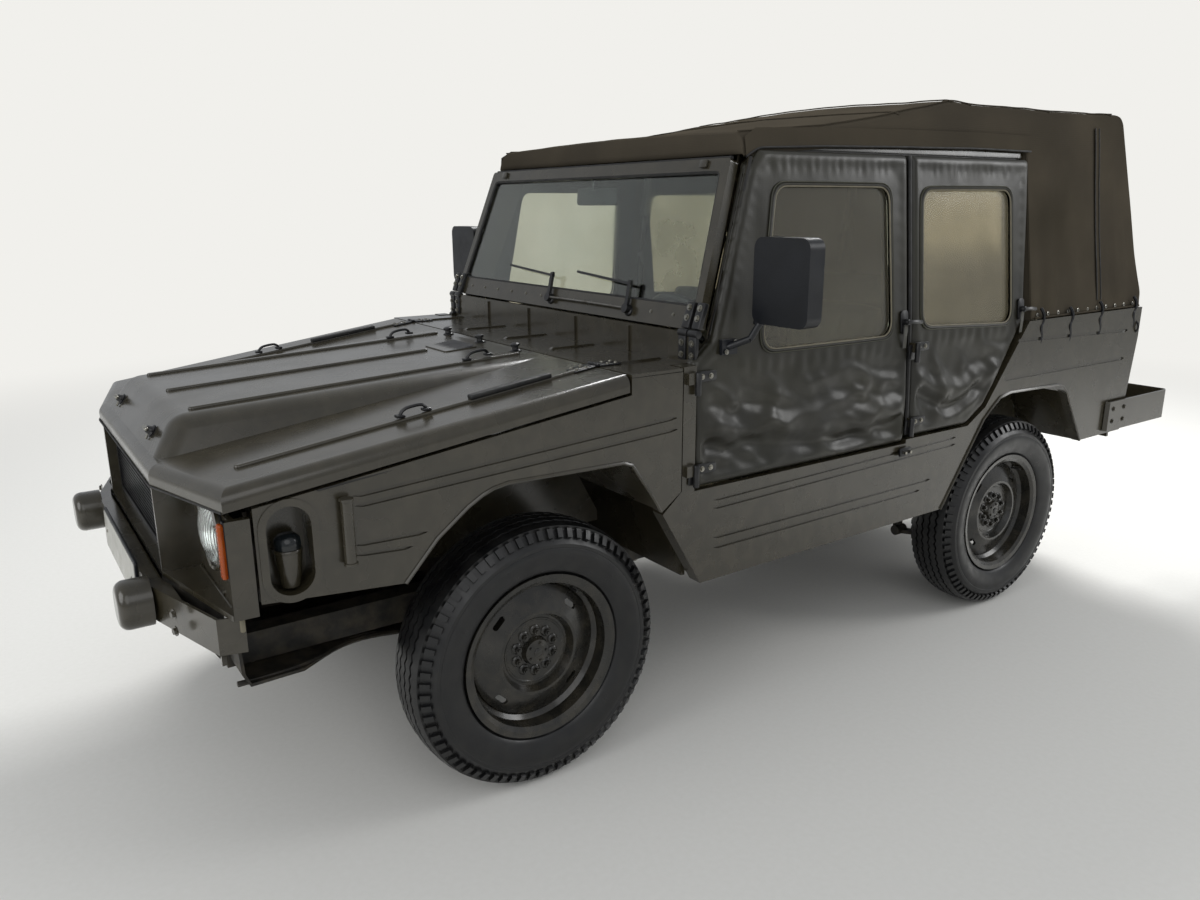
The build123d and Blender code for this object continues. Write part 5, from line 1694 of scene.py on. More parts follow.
@dataclass
class LampSet:
    """Headlamps, turn lamps, wing lamps and tail lamps."""

    headlamp: Point = (600.0, -738.0, 835.0)
    # Profiles of the headlamp's parts about its own axis: (radius, height)
    lens: Line = (
        (0, 31), (30, 29), (55, 23), (72, 13), (76, 9), (76, 5), (70, 9), (53, 18), (29, 24), (0, 26),
    )
    bowl: Line = (
        (75, 5), (72, 2), (62, -14), (44, -32), (22, -42), (0, -44), (0, -46), (23, -44), (46, -34),
        (64, -16), (77, 3),
    )
    rim: Line = ((75.5, 4), (84, 3), (86, 7), (85.5, 13), (82, 17), (76.5, 15), (75.5, 9))
    shell: Line = (
        (84, 3), (80, -14), (62, -38), (34, -52), (0, -55), (0, -47), (33, -45), (60, -30), (76, -10),
        (79, 3),
    )
    bulb: Line = ((0, -44), (12, -43), (12, -26), (9, -24), (9, -8), (7, -3), (0, -1))
    wing_lamp: Point = (701.8, -621.0, 711.0)
    wing_body: Line = (
        (0, 0), (13, 0.5), (20, 6), (24, 34), (27.5, 62), (29, 84), (29, 89), (25, 90), (0, 90),
    )
    wing_band: Line = ((29.2, 82), (30.4, 84), (30.4, 87), (29.2, 89))
    wing_lens: Line = ((0, 89.5), (27, 89.5), (28, 100), (26, 112), (18, 120), (8, 122), (0, 122.4))
    turn_low: Point = (696.0, -757.0, 762.0)
    turn_high: Point = (715.0, -738.0, 880.0)
    tail_low: Point = (600.0, 2746.5, 880.0)
    tail_high: Point = (690.0, 2790.0, 985.0)

    def round_screws(self, places: Sequence[Matrix], ring: Flat, turns: Sequence[float]) -> list[Matrix]:
        """Give the screws' places round each lamp, on a ring of (radius, height)."""
        radius, height = ring
        spots = [(radius * cos(t), radius * sin(t), height) for t in turns]
        return [lamp @ place(spot) for lamp in places for spot in spots]

    def headlamps(self) -> None:
        """Make each headlamp: shell, reflector, bulb, fluted lens and rim."""
        shape = Shape()
        places = [place(side.at(*self.headlamp), FORWARD) for side in Side]
        shape.take(turned(self.lens, 48), HEADLAMP_LENS, *places)
        shape.take(turned(self.bowl, 48), MIRROR_SILVER, *places)
        shape.take(turned(self.rim, 56, True), PAINT, *places)
        shape.take(turned(self.shell, 40), ENAMEL, *places)
        shape.take(turned(self.bulb, 18), MIRROR_SILVER, *places)
        shape.take(bolt(3.0, 3.0), ZINC, *self.round_screws(places, (79, 16), (0.4, 2.5, 4.6)))
        shape.piece("headlamp_pair", "root", "lamp_glass", ["headlamps"], 30)

    def turn_lamps(self) -> None:
        """Make the upright amber lamps on the nose's corners."""
        shape = Shape()
        (x0, y0, z0), (x1, y1, z1) = self.turn_low, self.turn_high
        for side in Side:
            back = block(side.at(x0 - 2, y0 + 11, z0 - 3), side.at(x1 + 2, y1, z1 + 3), 1.5)
            shape.take(back, PLASTIC)
            shape.take(block(side.at(*self.turn_low), side.at(x1, y0 + 12, z1), 5.0, 3), AMBER_LENS)
            ribs = [place(side.at((x0 + x1) / 2, y0 - 0.2, z)) for z in range(770, 876, 8)]
            shape.take(block((-7.5, -0.8, -1.2), (7.5, 1.0, 1.2), 0.8), AMBER_LENS, *ribs)
        shape.piece("turn_lamp_pair", "root", "amber", ["turn_lamps"])

    def wing_lamps(self) -> None:
        """Make the lamps that stand in the wings' recesses."""
        shape = Shape()
        places = [place(side.at(*self.wing_lamp)) for side in Side]
        shape.take(turned(self.wing_body, 32), PAINT, *places)
        shape.take(turned(self.wing_band, 32, True), PAINT, *places)
        shape.take(turned(self.wing_lens, 32), DARK_LENS, *places)
        shape.take(bolt(2.6, 2.4), ZINC, *self.round_screws(places, (23, 88), (0.8, 3.9)))
        shape.piece("wing_lamp_pair", "root", "olive_paint", ["side_lamps"])

    def tail_lamps(self) -> None:
        """Make the tail lamps: box, red and amber lenses and their screws."""
        shape = Shape()
        (x0, y0, z0), (x1, y1, z1) = self.tail_low, self.tail_high
        for side in Side:
            shape.take(block(side.at(x0, y0, z0), side.at(x1, y1 - 16, z1), 5, 3), PLASTIC)
            for low, high, lens in ((z0 + 4, z0 + 66, RED_LENS), (z0 + 68, z1 - 4, AMBER_LENS)):
                shape.take(block(side.at(x0 + 4, y1 - 20, low), side.at(x1 - 4, y1, high), 6, 3), lens)
            spots = [place(side.at(x, y1 + 0.2, z)) for x in (x0 + 12, x1 - 12) for z in (z0 + 12, z1 - 12)]
            shape.take(block((-2.4, -1.5, -2.4), (2.4, 0.8, 2.4), 1.2), ZINC, *spots)
            ribs = [place(side.at((x0 + x1) / 2, y1, z)) for z in range(int(z0) + 18, int(z0) + 60, 7)]
            shape.take(block((-30, -1, -1), (30, 0.9, 1), 0.8), RED_LENS, *ribs)
        shape.piece("tail_lamp_pair", "root", "red_lens", ["tail_lamps"])

    def build(self) -> None:
        """Make all lamps."""
        self.headlamps()
        self.turn_lamps()
        self.wing_lamps()
        self.tail_lamps()


# Ironwork


@dataclass
class BonnetIronwork:
    """Hinges, clips, knobs, rubber pads, latches and the louvred plate on the bonnet."""

    outer_rib_x: float = 598.0
    inner_rib_x: float = 275.0
    rib_height: float = 7.0
    front_y: float = -828.0
    front_z: float = 897.5
    side_x: float = 735.0
    bend_x: float = 401.0
    side_back: float = 80.0
    rise: float = 0.1354
    bulge_rise: float = 0.0545
    bulge_half: float = 330.0
    bulge_y: float = -746.0
    hinge_x: float = 590.0
    hinge_y: float = 232.0
    hinge_z: float = 1090.0
    hinge_radius: float = 4.5
    latch: Point = (228.0, -781.0, 981.0)
    knob_xs: Row = (-225.0, 0.0, 225.0)
    vent_y: float = 106.0

    def top(self, x: float, y: float) -> float:
        """Give the bonnet's height at a place, bulge and all."""
        flat = 941.5 + self.rise * (y + 826)
        bulge = 1029.5 + self.bulge_rise * (y - self.bulge_y)
        return max(flat, bulge) if abs(x) < self.bulge_half and y > self.bulge_y else flat

    def lay(self, x: float, y: float, lift: float = 0.0) -> Matrix:
        """Stand a part on the bonnet's top."""
        return place((x, y, self.top(x, y) + lift), (0, -self.rise, 1), REARWARD)

    def net_loop(self, shape: Shape, x: float, y: float) -> None:
        """Fix a wire loop that holds netting, on its two feet."""
        z = self.top(x, y) + self.rib_height - 2
        line = [(x, y + dy, z + dz) for dy, dz in ((-34, 2), (-30, 17), (0, 24), (30, 25), (34, 10))]
        shape.take(wire(line, 4.2, 10), ENAMEL)
        for dy in (-33, 33):
            base = z + dy * 0.13
            shape.take(block((x - 9, y + dy - 11, base + 4), (x + 9, y + dy + 11, base + 11), 2), ENAMEL)

    def barrel(self, side: Side, start: float, end: float) -> Part:
        """Make one part of a hinge's barrel."""
        ends = [side.at(self.hinge_x + dx, self.hinge_y, self.hinge_z) for dx in (start, end)]
        return rod(*ends, self.hinge_radius, 14, round_mm=1)

    def front_latch(self, shape: Shape, side: Side) -> None:
        """Fix a latch on the bulge's front face, with its wing and its tongue."""
        spot = place(side.at(*self.latch), (0, -0.83, 0.56), (0, 0.56, 0.83))
        shape.take(turned([(0, 0), (15, 0), (16, 3), (11, 6), (8, 16), (0, 17)], 20), ENAMEL, spot)
        shape.take(block((-19, -4.5, 14), (19, 4.5, 22), 3, 3), ZINC, spot)
        shape.take(rod((-13, -9, 4), (-13, -24, 2), 3, 8), ZINC, spot)

    def hinge_half(self, side: Side, shape: Shape, moving: bool) -> None:
        """Fix a hinge's leaf with its bolts and its share of the barrel.

        Args:
            side: Side of the car.
            shape: Piece that it belongs to.
            moving: Whether it is the half on the bonnet.
        """
        x = side.x(self.hinge_x)
        if moving:
            leaf, spot = tablet(24, 8, 7, low=-58), self.lay(x, 218, 1.0)
            heads = [self.lay(x + dx, y, 5.0) for dx in (-13, 13) for y in (172, 200)]
        else:
            leaf, spot = tablet(24, 66, 7, low=-3), place((x, 242, 1085.5))
            heads = [place((x + dx, y, 1089)) for dx in (-13, 13) for y in (268, 294)]
        shape.take(plate(leaf, 4, 0.8), ENAMEL, spot)
        shape.take(self.barrel(side, *((-22, 4) if moving else (6, 24))), ENAMEL)
        shape.take(bolt(4.5, 4.0), ZINC, *heads)

    def build(self) -> None:
        """Fit the bonnet, and the cowl's halves of its hinges."""
        shape, fixed = Shape(), Shape()
        for side in Side:
            pad = self.lay(side.x(self.outer_rib_x), -20, self.rib_height - 2)
            shape.take(block((-12, -115, 0), (12, 115, 12), 4, 3), RUBBER, pad)
            self.net_loop(shape, side.x(self.outer_rib_x), -280)
            self.net_loop(shape, side.x(self.inner_rib_x), 55)
            self.hinge_half(side, shape, True)
            self.hinge_half(side, fixed, False)
            self.front_latch(shape, side)
        knob = turned([(0, 0), (17, 0), (17, 4), (10, 7), (9, 14), (14, 17), (14, 23), (8, 26), (0, 26)], 20)
        shape.take(knob, ENAMEL, *(self.lay(x, 206, -1) for x in self.knob_xs))
        vent = self.lay(0, self.vent_y, 2.2)
        tilt = Matrix.Rotation(0.5, 4, "X")
        slats = [vent @ moved(0, y, 1) @ tilt for y in range(-42, 43, 9)]
        shape.take(block((-72, -3.6, -0.6), (72, 3.6, 0.9), 0.4, 1), ENAMEL, *slats)
        seam = []
        for x in range(-730, 731, 20):
            back = self.side_back * max(0.0, abs(x) - self.bend_x) / (self.side_x - self.bend_x)
            seam.append((x, self.front_y + back, self.front_z + 0.135 * back))
        shape.take(wire(seam, 2.6), RUBBER)
        shape.piece("bonnet_ironwork", "bonnet", "black_metal")
        fixed.piece("cowl_ironwork", "root", "black_metal")


@dataclass
class NoseIronwork:
    """Plate, brackets, bolts and trim round the nose, the wings and the front bumper."""

    plate_half: Flat = (260.0, 56.0)
    plate_at: Point = (20.0, -860.0, 628.0)
    tag: Point = (700.0, -722.0, 637.0)
    bumper_bolt: Flat = (560.0, -833.0)
    tool_tube: Point = (757.0, -507.0, 753.0)
    tool_tube_mm: float = 143.0
    # A dark sheet behind the bumper that stands in for the shade in the gap under the nose
    splash: Path = ((-655, -752, 640), (-400, -826, 640), (400, -826, 640), (655, -752, 640))
    skid: Path = (
        (440, -700, 388), (440, -540, 383), (320, -380, 371), (250, -130, 303), (180, 96, 280),
    )
    # Rows of bolts in the guard plate: (y, height)
    skid_rows: Line = ((-650, 387), (-560, 381), (-420, 371))

    def blank_plate(self, shape: Shape) -> None:
        """Fix the blank number plate on the bumper."""
        outline = tablet(*self.plate_half, 9)
        front = place(self.plate_at, (0, -1, 0.03))
        shape.take(plate(outline, 7, 1.5), PLASTIC, front)
        face = plate([(x * 0.965, y * 0.88) for x, y in outline], 2.2, 0.8)
        shape.take(face, PLATE_PAINT, front @ moved(0, 0, 6.2))
        shape.take(bolt(4, 2.6), ZINC, *(front @ moved(x, 0, 8.2) for x in (-205, 205)))

    def wing(self, shape: Shape, side: Side) -> None:
        """Fit one side's tag, bolts, rolled edge, tool tube collars and wing seal."""
        x, y, z = self.tag
        shape.take(block(side.at(x - 9, y - 11, z), side.at(x + 9, y, z + 31), 4, 3), EDGE_TAPE)
        slant = (side.x(0.25), -1, 0)
        heads = [place(side.at(*self.bumper_bolt, z), slant) for z in (613, 652)]
        shape.take(bolt(8, 7), PAINT, *heads)
        shape.take(bolt(4, 3.5), ZINC, *(place(side.at(610, -738.5, z), FORWARD) for z in (697, 903)))
        lip = [(393, -742, 690), (540, -740, 689), (690, -740, 688)]
        shape.take(wire(side.line(lip), 3.5), PAINT)
        tube = place(side.at(*self.tool_tube))
        collar = turned([(13.5, 0), (15.5, 1), (15.5, 6), (13.5, 7)], 24, True)
        shape.take(collar, PAINT, tube, tube @ moved(0, 0, self.tool_tube_mm))
        seal = [side.at(741, y, 931 + 0.1 * (y + 500)) for y in (-560, -300, 0, 200)]
        shape.take(wire(seal, 2.0), RUBBER)

    def build(self) -> None:
        """Fit the nose."""
        shape = Shape()
        self.blank_plate(shape)
        for side in Side:
            self.wing(shape, side)
            shape.take(wire(side.line(self.skid), 7.0, 10), COATING)
        # Dark sheet that fills the gap behind the bumper: painted shade
        shape.take(ribbon(self.splash, UP, 88, 3), COATING)
        spots = [place((x, y, z), (0, 0.1, -1)) for x in (-300, -100, 100, 300) for y, z in self.skid_rows]
        shape.take(bolt(7, 5), ZINC, *spots)
        shape.piece("nose_ironwork", "root", "olive_paint")


@dataclass
class ScreenIronwork:
    """Gasket, hinge blocks, clamps, wiper pivots and the mirror inside the windscreen."""

    foot_y: float = 479.0
    foot_z: float = 1170.0
    lean: float = atan(0.343)
    hinge_x: float = 690.0
    glass: Line = ((-679, 63), (679, 63), (631, 433), (-631, 433))
    wiper_xs: Row = (-30.0, 400.0)
    post: Path = ((673, 540, 1164), (660, 578, 1275), (639, 642, 1460), (622, 694, 1604), (618, 706, 1640))
    post_flap: Path = (
        (712, 524, 1108), (711, 532, 1160), (706, 566, 1250), (690, 650, 1490), (682, 686, 1612),
    )

    def on(self, x: float, up: float, out: float = 0.0) -> Point:
        """Give a point of the leaning screen: across the car, up the screen and out in front of it."""
        s, c = sin(self.lean), cos(self.lean)
        return x, self.foot_y + up * s - out * c, self.foot_z + up * c + out * s

    def stand(self, x: float, up: float, out: float = 0.0) -> Matrix:
        """Stand a part on the leaning screen, facing forward."""
        s, c = sin(self.lean), cos(self.lean)
        return place(self.on(x, up, out), (0, -c, s), (0, s, c))

    def hinge(self, shape: Shape, x: float) -> None:
        """Fix one half of a screen hinge: its straps, its pin and its bolts."""
        shape.take(block((-15, -6, -2), (15, 66, 13), 3), ENAMEL, self.stand(x, 8))
        shape.take(block((x - 15, 459, 1092), (x + 15, 472, 1156), 3), ENAMEL)
        shape.take(rod((x - 18, 468, 1163), (x + 18, 468, 1163), 11, 16, round_mm=1.5), ENAMEL)
        heads = [self.stand(x, up, 13) for up in (30, 58)]
        heads += [place((x, 459, z), FORWARD) for z in (1106, 1138)]
        shape.take(bolt(6.5, 6.0), ZINC, *heads)

    def canvas_edges(self, shape: Shape, side: Side) -> None:
        """Close the gap between the screen's post and the door with canvas strips and a seal."""
        shape.take(ribbon(side.line(self.post), (side.x(-44), 52, 0), 104, 2), CANVAS)
        flap = side.line(self.post_flap)
        shape.take(ribbon(flap, (0.25, 1, -0.3), 26, 9), CANVAS)
        shape.take(wire([(x + side.x(3), y - 8, z + 3) for x, y, z in flap], 4.5), RUBBER)

    def wiper_drive(self, shape: Shape) -> None:
        """Set the wipers' pivots and the link between them."""
        pivot = turned([(0, 0), (16, 0), (15, 5), (9, 9), (8, 20), (0, 21)], 20)
        shape.take(pivot, ENAMEL, *(self.stand(x, 26) for x in self.wiper_xs))
        first, last = (self.on(x, 30, 16) for x in self.wiper_xs)
        shape.take(wire([first, self.on(180, 33, 15), last], 4.0), STEEL)

    def build(self) -> None:
        """Fit the screen."""
        shape = Shape()
        gasket = [self.on(x, up, -6) for x, up in rounded(self.glass, 26)]
        shape.take(wire(gasket, 6.5, closed=True, smooth=False), RUBBER)
        for side in Side:
            for shift in (-15, 27):
                self.hinge(shape, side.x(self.hinge_x + shift))
            clamp_block = block((-14, -10, 0), (14, 12, 9), 2.5)
            shape.take(clamp_block, PAINT, self.stand(side.x(560), 452))
            self.canvas_edges(shape, side)
        shape.take(bolt(3.6, 3.0), ZINC, *(self.stand(x, 34) for x in range(-600, 601, 100)))
        self.wiper_drive(shape)
        shape.take(wire([self.on(x, 472, -12) for x in range(-650, 651, 50)], 6.0), RUBBER)
        shape.take(rod(self.on(0, 400, -32), self.on(0, 440, -24), 5), ENAMEL)
        shape.take(plate(tablet(115, 28, 14), 12, 4), PLASTIC, place(self.on(0, 385, -48), (0, 1, -0.1)))
        shape.piece("screen_ironwork", "root", "black_metal")


@dataclass
class DoorMirrors:
    """Glass, clamp and screws of the two door mirrors."""

    head_low: Point = (792.0, 600.0, 1190.0)
    head_high: Point = (986.0, 652.0, 1412.0)
    border: float = 13.0

    def build(self) -> None:
        """Fit both mirrors."""
        (x0, _, z0), (x1, y1, z1) = self.head_low, self.head_high
        ring = tablet((x1 - x0) / 2 - self.border, (z1 - z0) / 2 - self.border, 22, 6)
        for side in Side:
            shape = Shape()
            spot = place(side.at((x0 + x1) / 2, y1 - 0.4, (z0 + z1) / 2), REARWARD)
            shape.take(plate(ring, 1.6, 0.5), MIRROR_SILVER, spot)
            rim = [spot @ Vector((x * 1.05, y * 1.05, 0.5)) for x, y in ring]
            shape.take(wire(rim, 2.6, closed=True), PLASTIC)
            shape.take(rod(side.at(800, 617, 1186), side.at(800, 617, 1206), 15, 18, 12, 2), PLASTIC)
            heads = [place(side.at(756, y, z), (side.value, 0, 0.1)) for y, z in ((548, 1113), (578, 1137))]
            shape.take(bolt(5, 4), ZINC, *heads)
            shape.piece(f"mirror_fittings_{side.word}", f"door_front_{side.word}", "black_plastic")


@dataclass
class Cab:
    """Dials, switches, levers, pedals, mats and belts."""

    dash_y: float = 640.0
    floor_z: float = 641.0
    # Dials: (distance from the middle, height, radius)
    dials: Path = ((262, 1000, 40), (398, 1000, 40), (330, 1022, 22), (310, 968, 16), (350, 968, 16))
    boot: Line = ((34, 0), (38, 6), (28, 16), (31, 22), (22, 32), (24, 38), (14, 48), (8, 54), (8, 0))
    # Pedals: (distance from the middle, height of the foot)
    pedals: Line = ((200, 600), (300, 600), (400, 590))
    grab_bar: Path = (
        (-520, 642, 1040), (-520, 676, 1044), (-360, 684, 1046), (-200, 676, 1044), (-200, 642, 1040),
    )
    belt: Path = ((662, 1340, 1560), (640, 1352, 1300), (606, 1350, 1000), (590, 1330, 700))
    steering_hub: Point = (330.0, 820.0, 1060.0)

    def dial(self, shape: Shape, x: float, z: float, radius: float) -> None:
        """Set one dial in the dashboard, with its marks and its hand."""
        spot = place((x, self.dash_y + 1, z), REARWARD)
        shape.take(turned([(0, 0), (radius, 0), (radius, 2), (0, 2)]), DIAL_FACE, spot)
        bezel = [(radius, 0), (radius + 5, 0), (radius + 5, 6), (radius + 2, 9), (radius, 6)]
        shape.take(turned(bezel, 32, True), ENAMEL, spot)
        marks = [spot @ Matrix.Rotation(radians(turn), 4, "Z") for turn in range(-135, 136, 27)]
        shape.take(block((-0.9, radius * 0.74, 1.8), (0.9, radius * 0.92, 2.6)), DIAL_MARK, *marks)
        hand = block((-1.1, -4, 2.4), (1.1, radius * 0.7, 3.4))
        shape.take(hand, DIAL_MARK, spot @ Matrix.Rotation(1.1, 4, "Z"))
        shape.take(turned([(0, 5), (radius, 5), (radius, 6), (0, 6)], 24), LAMP_GLASS, spot)

    def dashboard(self, shape: Shape) -> None:
        """Fit the dials, the switches, the lid and the grab bar."""
        for dial in self.dials:
            self.dial(shape, *dial)
        keys = [place((x, self.dash_y + 1, 915), REARWARD) for x in range(150, 520, 34)]
        shape.take(block((-8, -11, 0), (8, 11, 9), 2), PLASTIC, *keys)
        shape.take(plate(tablet(180, 52, 14), 5, 1.5), PAINT, place((-360, self.dash_y, 985), REARWARD))
        shape.take(wire(self.grab_bar, 9), ENAMEL)

    def lever(self, shape: Shape, points: Sequence[Point], radius: float, knob: float) -> None:
        """Stand a bent lever with a round knob in its boot.

        Args:
            shape: Piece that it belongs to.
            points: Points that the lever follows, each with its height over the tunnel.
            radius: Its radius.
            knob: Radius of its knob.
        """
        line = [(x, y, self.floor_z + up) for x, y, up in points]
        shape.take(wire(line, radius), ENAMEL)
        ball = bmesh.new()
        bmesh.ops.create_uvsphere(ball, u_segments=16, v_segments=10, radius=knob)
        shape.take(ball, PLASTIC, Matrix.Translation(line[-1]))
        shape.take(turned(self.boot, 24, True), RUBBER, Matrix.Translation(line[0]))

    def pedal(self, shape: Shape, x: float, z: float) -> None:
        """Hang one pedal with its rubber pad."""
        shape.take(wire([(x, 500, z + 190), (x, 560, z + 90), (x, 590, z + 10)], 7), ENAMEL)
        shape.take(block((x - 24, 586, z - 22), (x + 24, 598, z + 30), 5, 3), RUBBER)

    def footwell(self, shape: Shape, side: Side) -> None:
        """Lay one side's ribbed mat, and hang its belt."""
        shape.take(block(side.at(178, 520, 506), side.at(680, 1280, 513), 3), RUBBER_MAT)
        rib = block(side.at(198, -5, 512), side.at(660, 5, 515.5), 1.5, 1)
        shape.take(rib, RUBBER_MAT, *(moved(0, y, 0) for y in range(560, 860, 26)))
        shape.take(ribbon(side.line(self.belt), (0, 1, 0.05), 46, 1.6), WEBBING)
        shape.take(block(side.at(580, 1306, 640), side.at(600, 1352, 712), 4), PLASTIC)

    def build(self) -> None:
        """Fit out the cab."""
        shape = Shape()
        self.dashboard(shape)
        self.lever(shape, [(20, 760, 0), (22, 764, 99), (30, 790, 189), (34, 812, 239)], 7, 20)
        self.lever(shape, [(-70, 800, 0), (-72, 806, 59), (-78, 820, 129)], 6, 15)
        self.lever(shape, [(110, 1010, 0), (112, 960, 59), (114, 900, 101)], 7, 12)
        for x, z in self.pedals:
            self.pedal(shape, x, z)
        for side in Side:
            self.footwell(shape, side)
        shape.piece("cab_fittings", "root", "black_plastic")
        wheel = Shape()
        hub = place(self.steering_hub, (0, 0.797, 0.604), (1, 0, 0))
        wheel.take(turned([(0, -8), (44, -8), (46, -2), (40, 9), (26, 14), (0, 15)]), PLASTIC, hub)
        wheel.piece("horn_pad", "steering_wheel", "black_plastic")


@dataclass
class Underbody:
    """Bellows, tie rods, clamps, straps and bolts under the floor."""

    axle_ys: Row = (0.0, 2017.0)
    rack: Point = (330.0, -150.0, 357.0)
    rod_end: Point = (548.0, -128.0, 338.0)
    strap: Line = ((-272, 600), (-273, 482), (-240, 438), (0, 437), (240, 438), (273, 482), (272, 600))
    strap_ys: Row = (2340.0, 2560.0)
    rail_bolt_ys: Row = (-640.0, 560.0, 1180.0, 2210.0, 2690.0)

    def bellows(self, count: int, big: float, small: float) -> Part:
        """Make a folded rubber boot.

        Args:
            count: How many folds it has.
            big: Radius of its first ridge.
            small: Radius of its first hollow.

        Returns:
            The boot, narrowing along Z.
        """
        made = [(18.0, 0)]
        for k in range(count):
            t = k / count
            made += [(big * (1 - t) + 24 * t, 9 * k), (small * (1 - t) + 20 * t, 9 * k + 4.5)]
        return turned([*made, (18.0, 9 * count)], 28 if big > 30 else 20, True)

    def axle(self, shape: Shape, side: Side, y: float) -> None:
        """Fit one half-shaft's boot, and the clips and bolts of the spring over it."""
        boot = place(side.at(150, y, 355), (side.value, 0, 0.01), REARWARD)
        shape.take(self.bellows(8, 46, 34), RUBBER, boot)
        clip = block((-40, -5, -6), (40, 5, 32), 3)
        shape.take(clip, COATING, *(place(side.at(x, y, 484)) for x in (250, 400)))
        heads = [place((side.x(320) + dx, y + dy, 518)) for dx in (-20, 20) for dy in (-18, 18)]
        shape.take(bolt(9, 8), ZINC, *heads)

    def tie_rod(self, shape: Shape, side: Side) -> None:
        """Fit one tie rod with its gaiter."""
        x, y, z = self.rack
        line = [(492, -134, 353), (x, y, z - 1), (120, y, z + 1)]
        shape.take(wire(side.line(line), 9), STEEL)
        shape.take(self.bellows(7, 26, 18), RUBBER, place(side.at(x, y, z - 1), (side.value, 0.05, 0)))

    def knuckle_joint(self, side: Side) -> None:
        """Fit the tie rod's end that turns with one knuckle."""
        joint = Shape()
        x, y, z = self.rod_end
        joint.take(rod(side.at(x, y, z), side.at(x, y, z + 30), 14, 20, 11, 2), CAST_METAL)
        joint.take(wire(side.line([(x - 2, y, z + 14), (497, y - 5, z + 15)]), 11), STEEL)
        joint.piece(f"tie_rod_end_{side.word}", f"knuckle_{side.word}", "chassis_black")

    def build(self) -> None:
        """Fit the underbody."""
        shape = Shape()
        for side in Side:
            for y in self.axle_ys:
                self.axle(shape, side, y)
            self.tie_rod(shape, side)
        shape.take(rod(*(side.at(*self.rack) for side in Side), 24, 20, round_mm=5), CAST_METAL)
        for y in self.strap_ys:
            shape.take(ribbon([(x, y, z) for x, z in self.strap], REARWARD, 34, 3), COATING)
        xs = [side.x(x) for side in Side for x in (306, 334)]
        shape.take(bolt(8, 7), ZINC, *(place((x, y, 390), (0, 0, -1)) for x in xs for y in self.rail_bolt_ys))
        shape.piece("underbody_fittings", "root", "chassis_black")
        for side in Side:
            self.knuckle_joint(side)


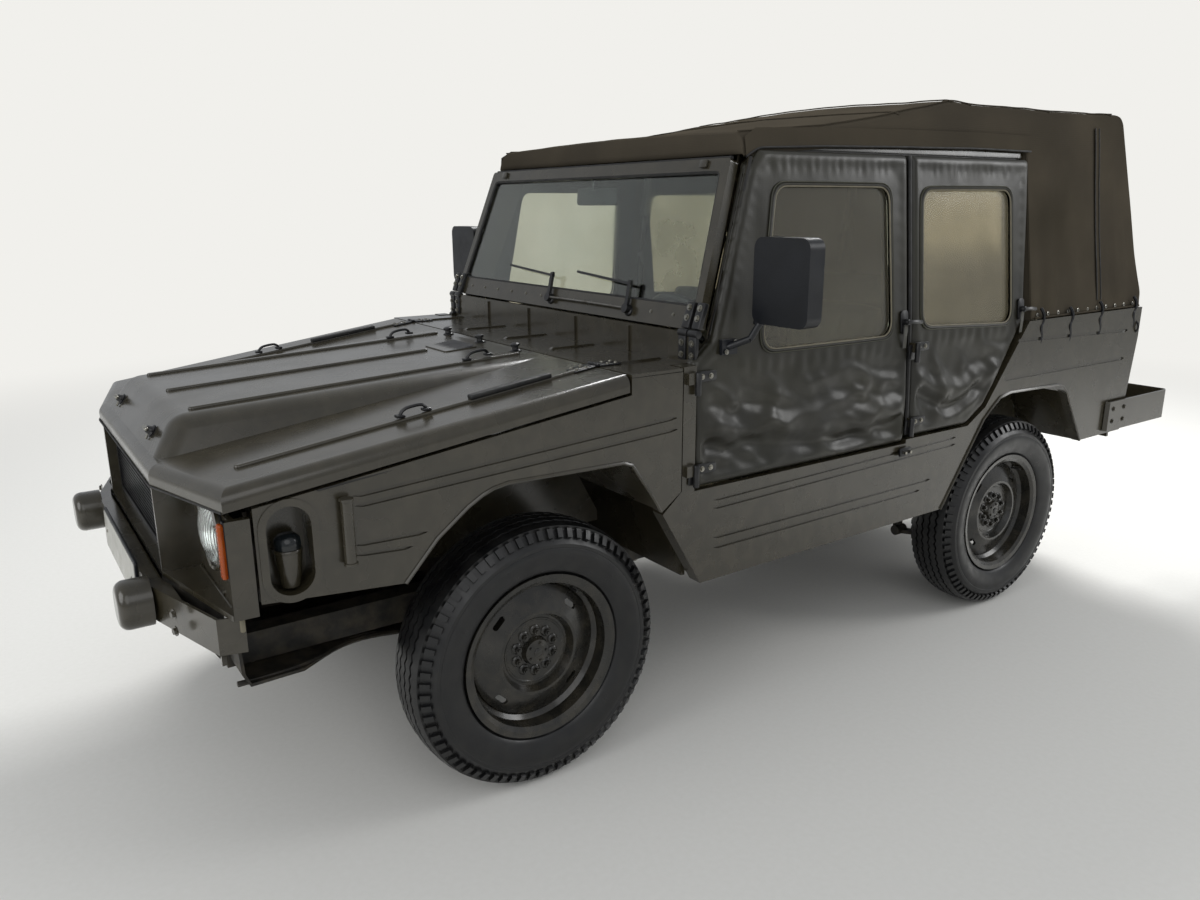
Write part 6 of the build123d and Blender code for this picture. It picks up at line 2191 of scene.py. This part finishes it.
@dataclass
class TailIronwork:
    """Latches, blank plate, bolts, seals and the rolled edges of the wheel arches."""

    latch: Point = (515.0, 2752.0, 1040.0)
    plate_at: Point = (0.0, 2743.0, 880.0)
    strike: Point = (762.0, 1318.0, 722.0)
    hook: Path = ((752, 2716, 1040), (764, 2722, 1030), (766, 2722, 1000), (752, 2720, 992))
    # Hinge plates on the door posts: (y, height, distance from the middle)
    hinge_plates: Path = ((440, 805, 758), (440, 1055, 750), (1337, 815, 758), (1337, 1055, 750))
    front_arch: Line = (
        (-382, 676), (-301, 766), (-223, 826), (-185, 848), (-157, 859), (-117, 866), (210, 862), (236, 852),
        (306, 751), (330, 711),
    )
    rear_arch: Line = (
        (1546, 481), (1745, 767), (1790, 806), (1833, 837), (1891, 848), (2195, 841), (2232, 830),
        (2261, 805), (2399, 598),
    )
    # Lines of the body's side: (height, distance from the middle)
    rear_opening: Line = ((1096, 694), (1640, 641))
    canvas_side: Line = ((1094, 717), (1804, 611))
    door_post: Line = ((700, 751), (900, 751), (1104, 737), (1640, 684))

    def tailgate(self) -> None:
        """Fit the tailgate's latches and its blank plate with the lamp."""
        gate = Shape()
        for side in Side:
            spot = place(side.at(*self.latch), REARWARD)
            gate.take(plate(tablet(18, 30, 6), 5, 1), ENAMEL, spot)
            gate.take(block((-6, -34, 5), (6, 20, 15), 3), ENAMEL, spot)
            gate.take(bolt(4.5, 4), ZINC, *(spot @ moved(0, y, 5) for y in (24, -24)))
        spot = place(self.plate_at, (0, 1, -0.12))
        gate.take(plate(tablet(250, 58, 8), 3, 1), PLATE_PAINT, spot)
        gate.take(block((-60, 62, 0), (60, 84, 26), 6, 3), PLASTIC, spot)
        gate.piece("tailgate_ironwork", "tailgate", "black_metal")

    def post(self, side: Side, table: Sequence[Flat], y: float, zs: Sequence[float]) -> list[Point]:
        """Give an upright line that follows the body's side."""
        return [side.at(along(table, z), y, z) for z in zs]

    def fittings(self, shape: Shape, side: Side) -> None:
        """Fit one side's bolts, hem bead, hook, door strike and hinge plates."""
        rows = [side.stand(776, y, z) for y in (2600, 2680) for z in (650, 700)]
        shape.take(bolt(7, 5), PAINT, *rows)
        shape.take(wire([side.at(748, y, 1098) for y in (2010, 2300, 2735)], 4), CANVAS)
        shape.take(wire(side.line(self.hook), 4), ENAMEL)
        strike = side.stand(*self.strike)
        shape.take(block((-26, -14, 0), (26, 14, 9), 3), ENAMEL, strike)
        pins = [strike @ moved(x, 0, 0) for x in (-12, 12)]
        shape.take(rod((0, 0, 8), (0, 0, 20), 5, 12), ZINC, *pins)
        spots = [side.stand(x, y - 6, z - 15) for y, z, x in self.hinge_plates]
        shape.take(plate(tablet(14, 24, 5), 4, 1), ENAMEL, *spots)

    def arches(self, shape: Shape, side: Side) -> None:
        """Roll the edges of one side's wheel arches."""
        for arch, proud in ((self.front_arch, 0.0), (self.rear_arch, 1.5)):
            lip = [side.at(757 - 0.0224 * max(0.0, 235 - y) + proud, y, z) for y, z in arch]
            shape.take(wire(lip, 5.0, 10, smooth=False), PAINT)
            shape.take(ribbon([(x - side.x(16), y, z + 1) for x, y, z in lip], (1, 0, 0), 30, 3), PAINT)

    def door_seals(self, shape: Shape, side: Side) -> None:
        """Hang the strips that close the gaps behind one side's doors."""
        flap = self.post(side, self.rear_opening, 1973, (1112, 1240, 1380, 1520, 1640))
        shape.take(ribbon(flap, REARWARD, 52, 3), CANVAS)
        turned_in = self.post(side, self.canvas_side, 1978, (1092, 1240, 1380, 1520, 1668))
        shape.take(ribbon(turned_in, (side.x(-61), -20, 0), 66, 3), CANVAS)
        seal = self.post(side, self.door_post, 1335, (800, 1100, 1400, 1632))
        shape.take(wire(seal, 6.5), RUBBER)
        shape.take(ribbon([(x - side.x(42), y, z) for x, y, z in seal], REARWARD, 84, 3), CANVAS)

    def build(self) -> None:
        """Fit the tailgate and the body's sides."""
        self.tailgate()
        shape = Shape()
        for side in Side:
            self.fittings(shape, side)
            self.arches(shape, side)
            self.door_seals(shape, side)
        shape.piece("body_ironwork", "root", "black_metal")


def main() -> None:
    """Build the car's looks in order."""
    logging.basicConfig(level=logging.INFO, format="%(message)s")
    body = (Studio(), Bodywork(), CanvasTop(), *all_doors(), *all_wheels(), SeatSet(), LampSet())
    ironwork = (
        BonnetIronwork(), NoseIronwork(), ScreenIronwork(), DoorMirrors(), Cab(), Underbody(), TailIronwork(),
    )
    for group in (*body, *ironwork):
        group.build()


if __name__ == "__main__":
    main()
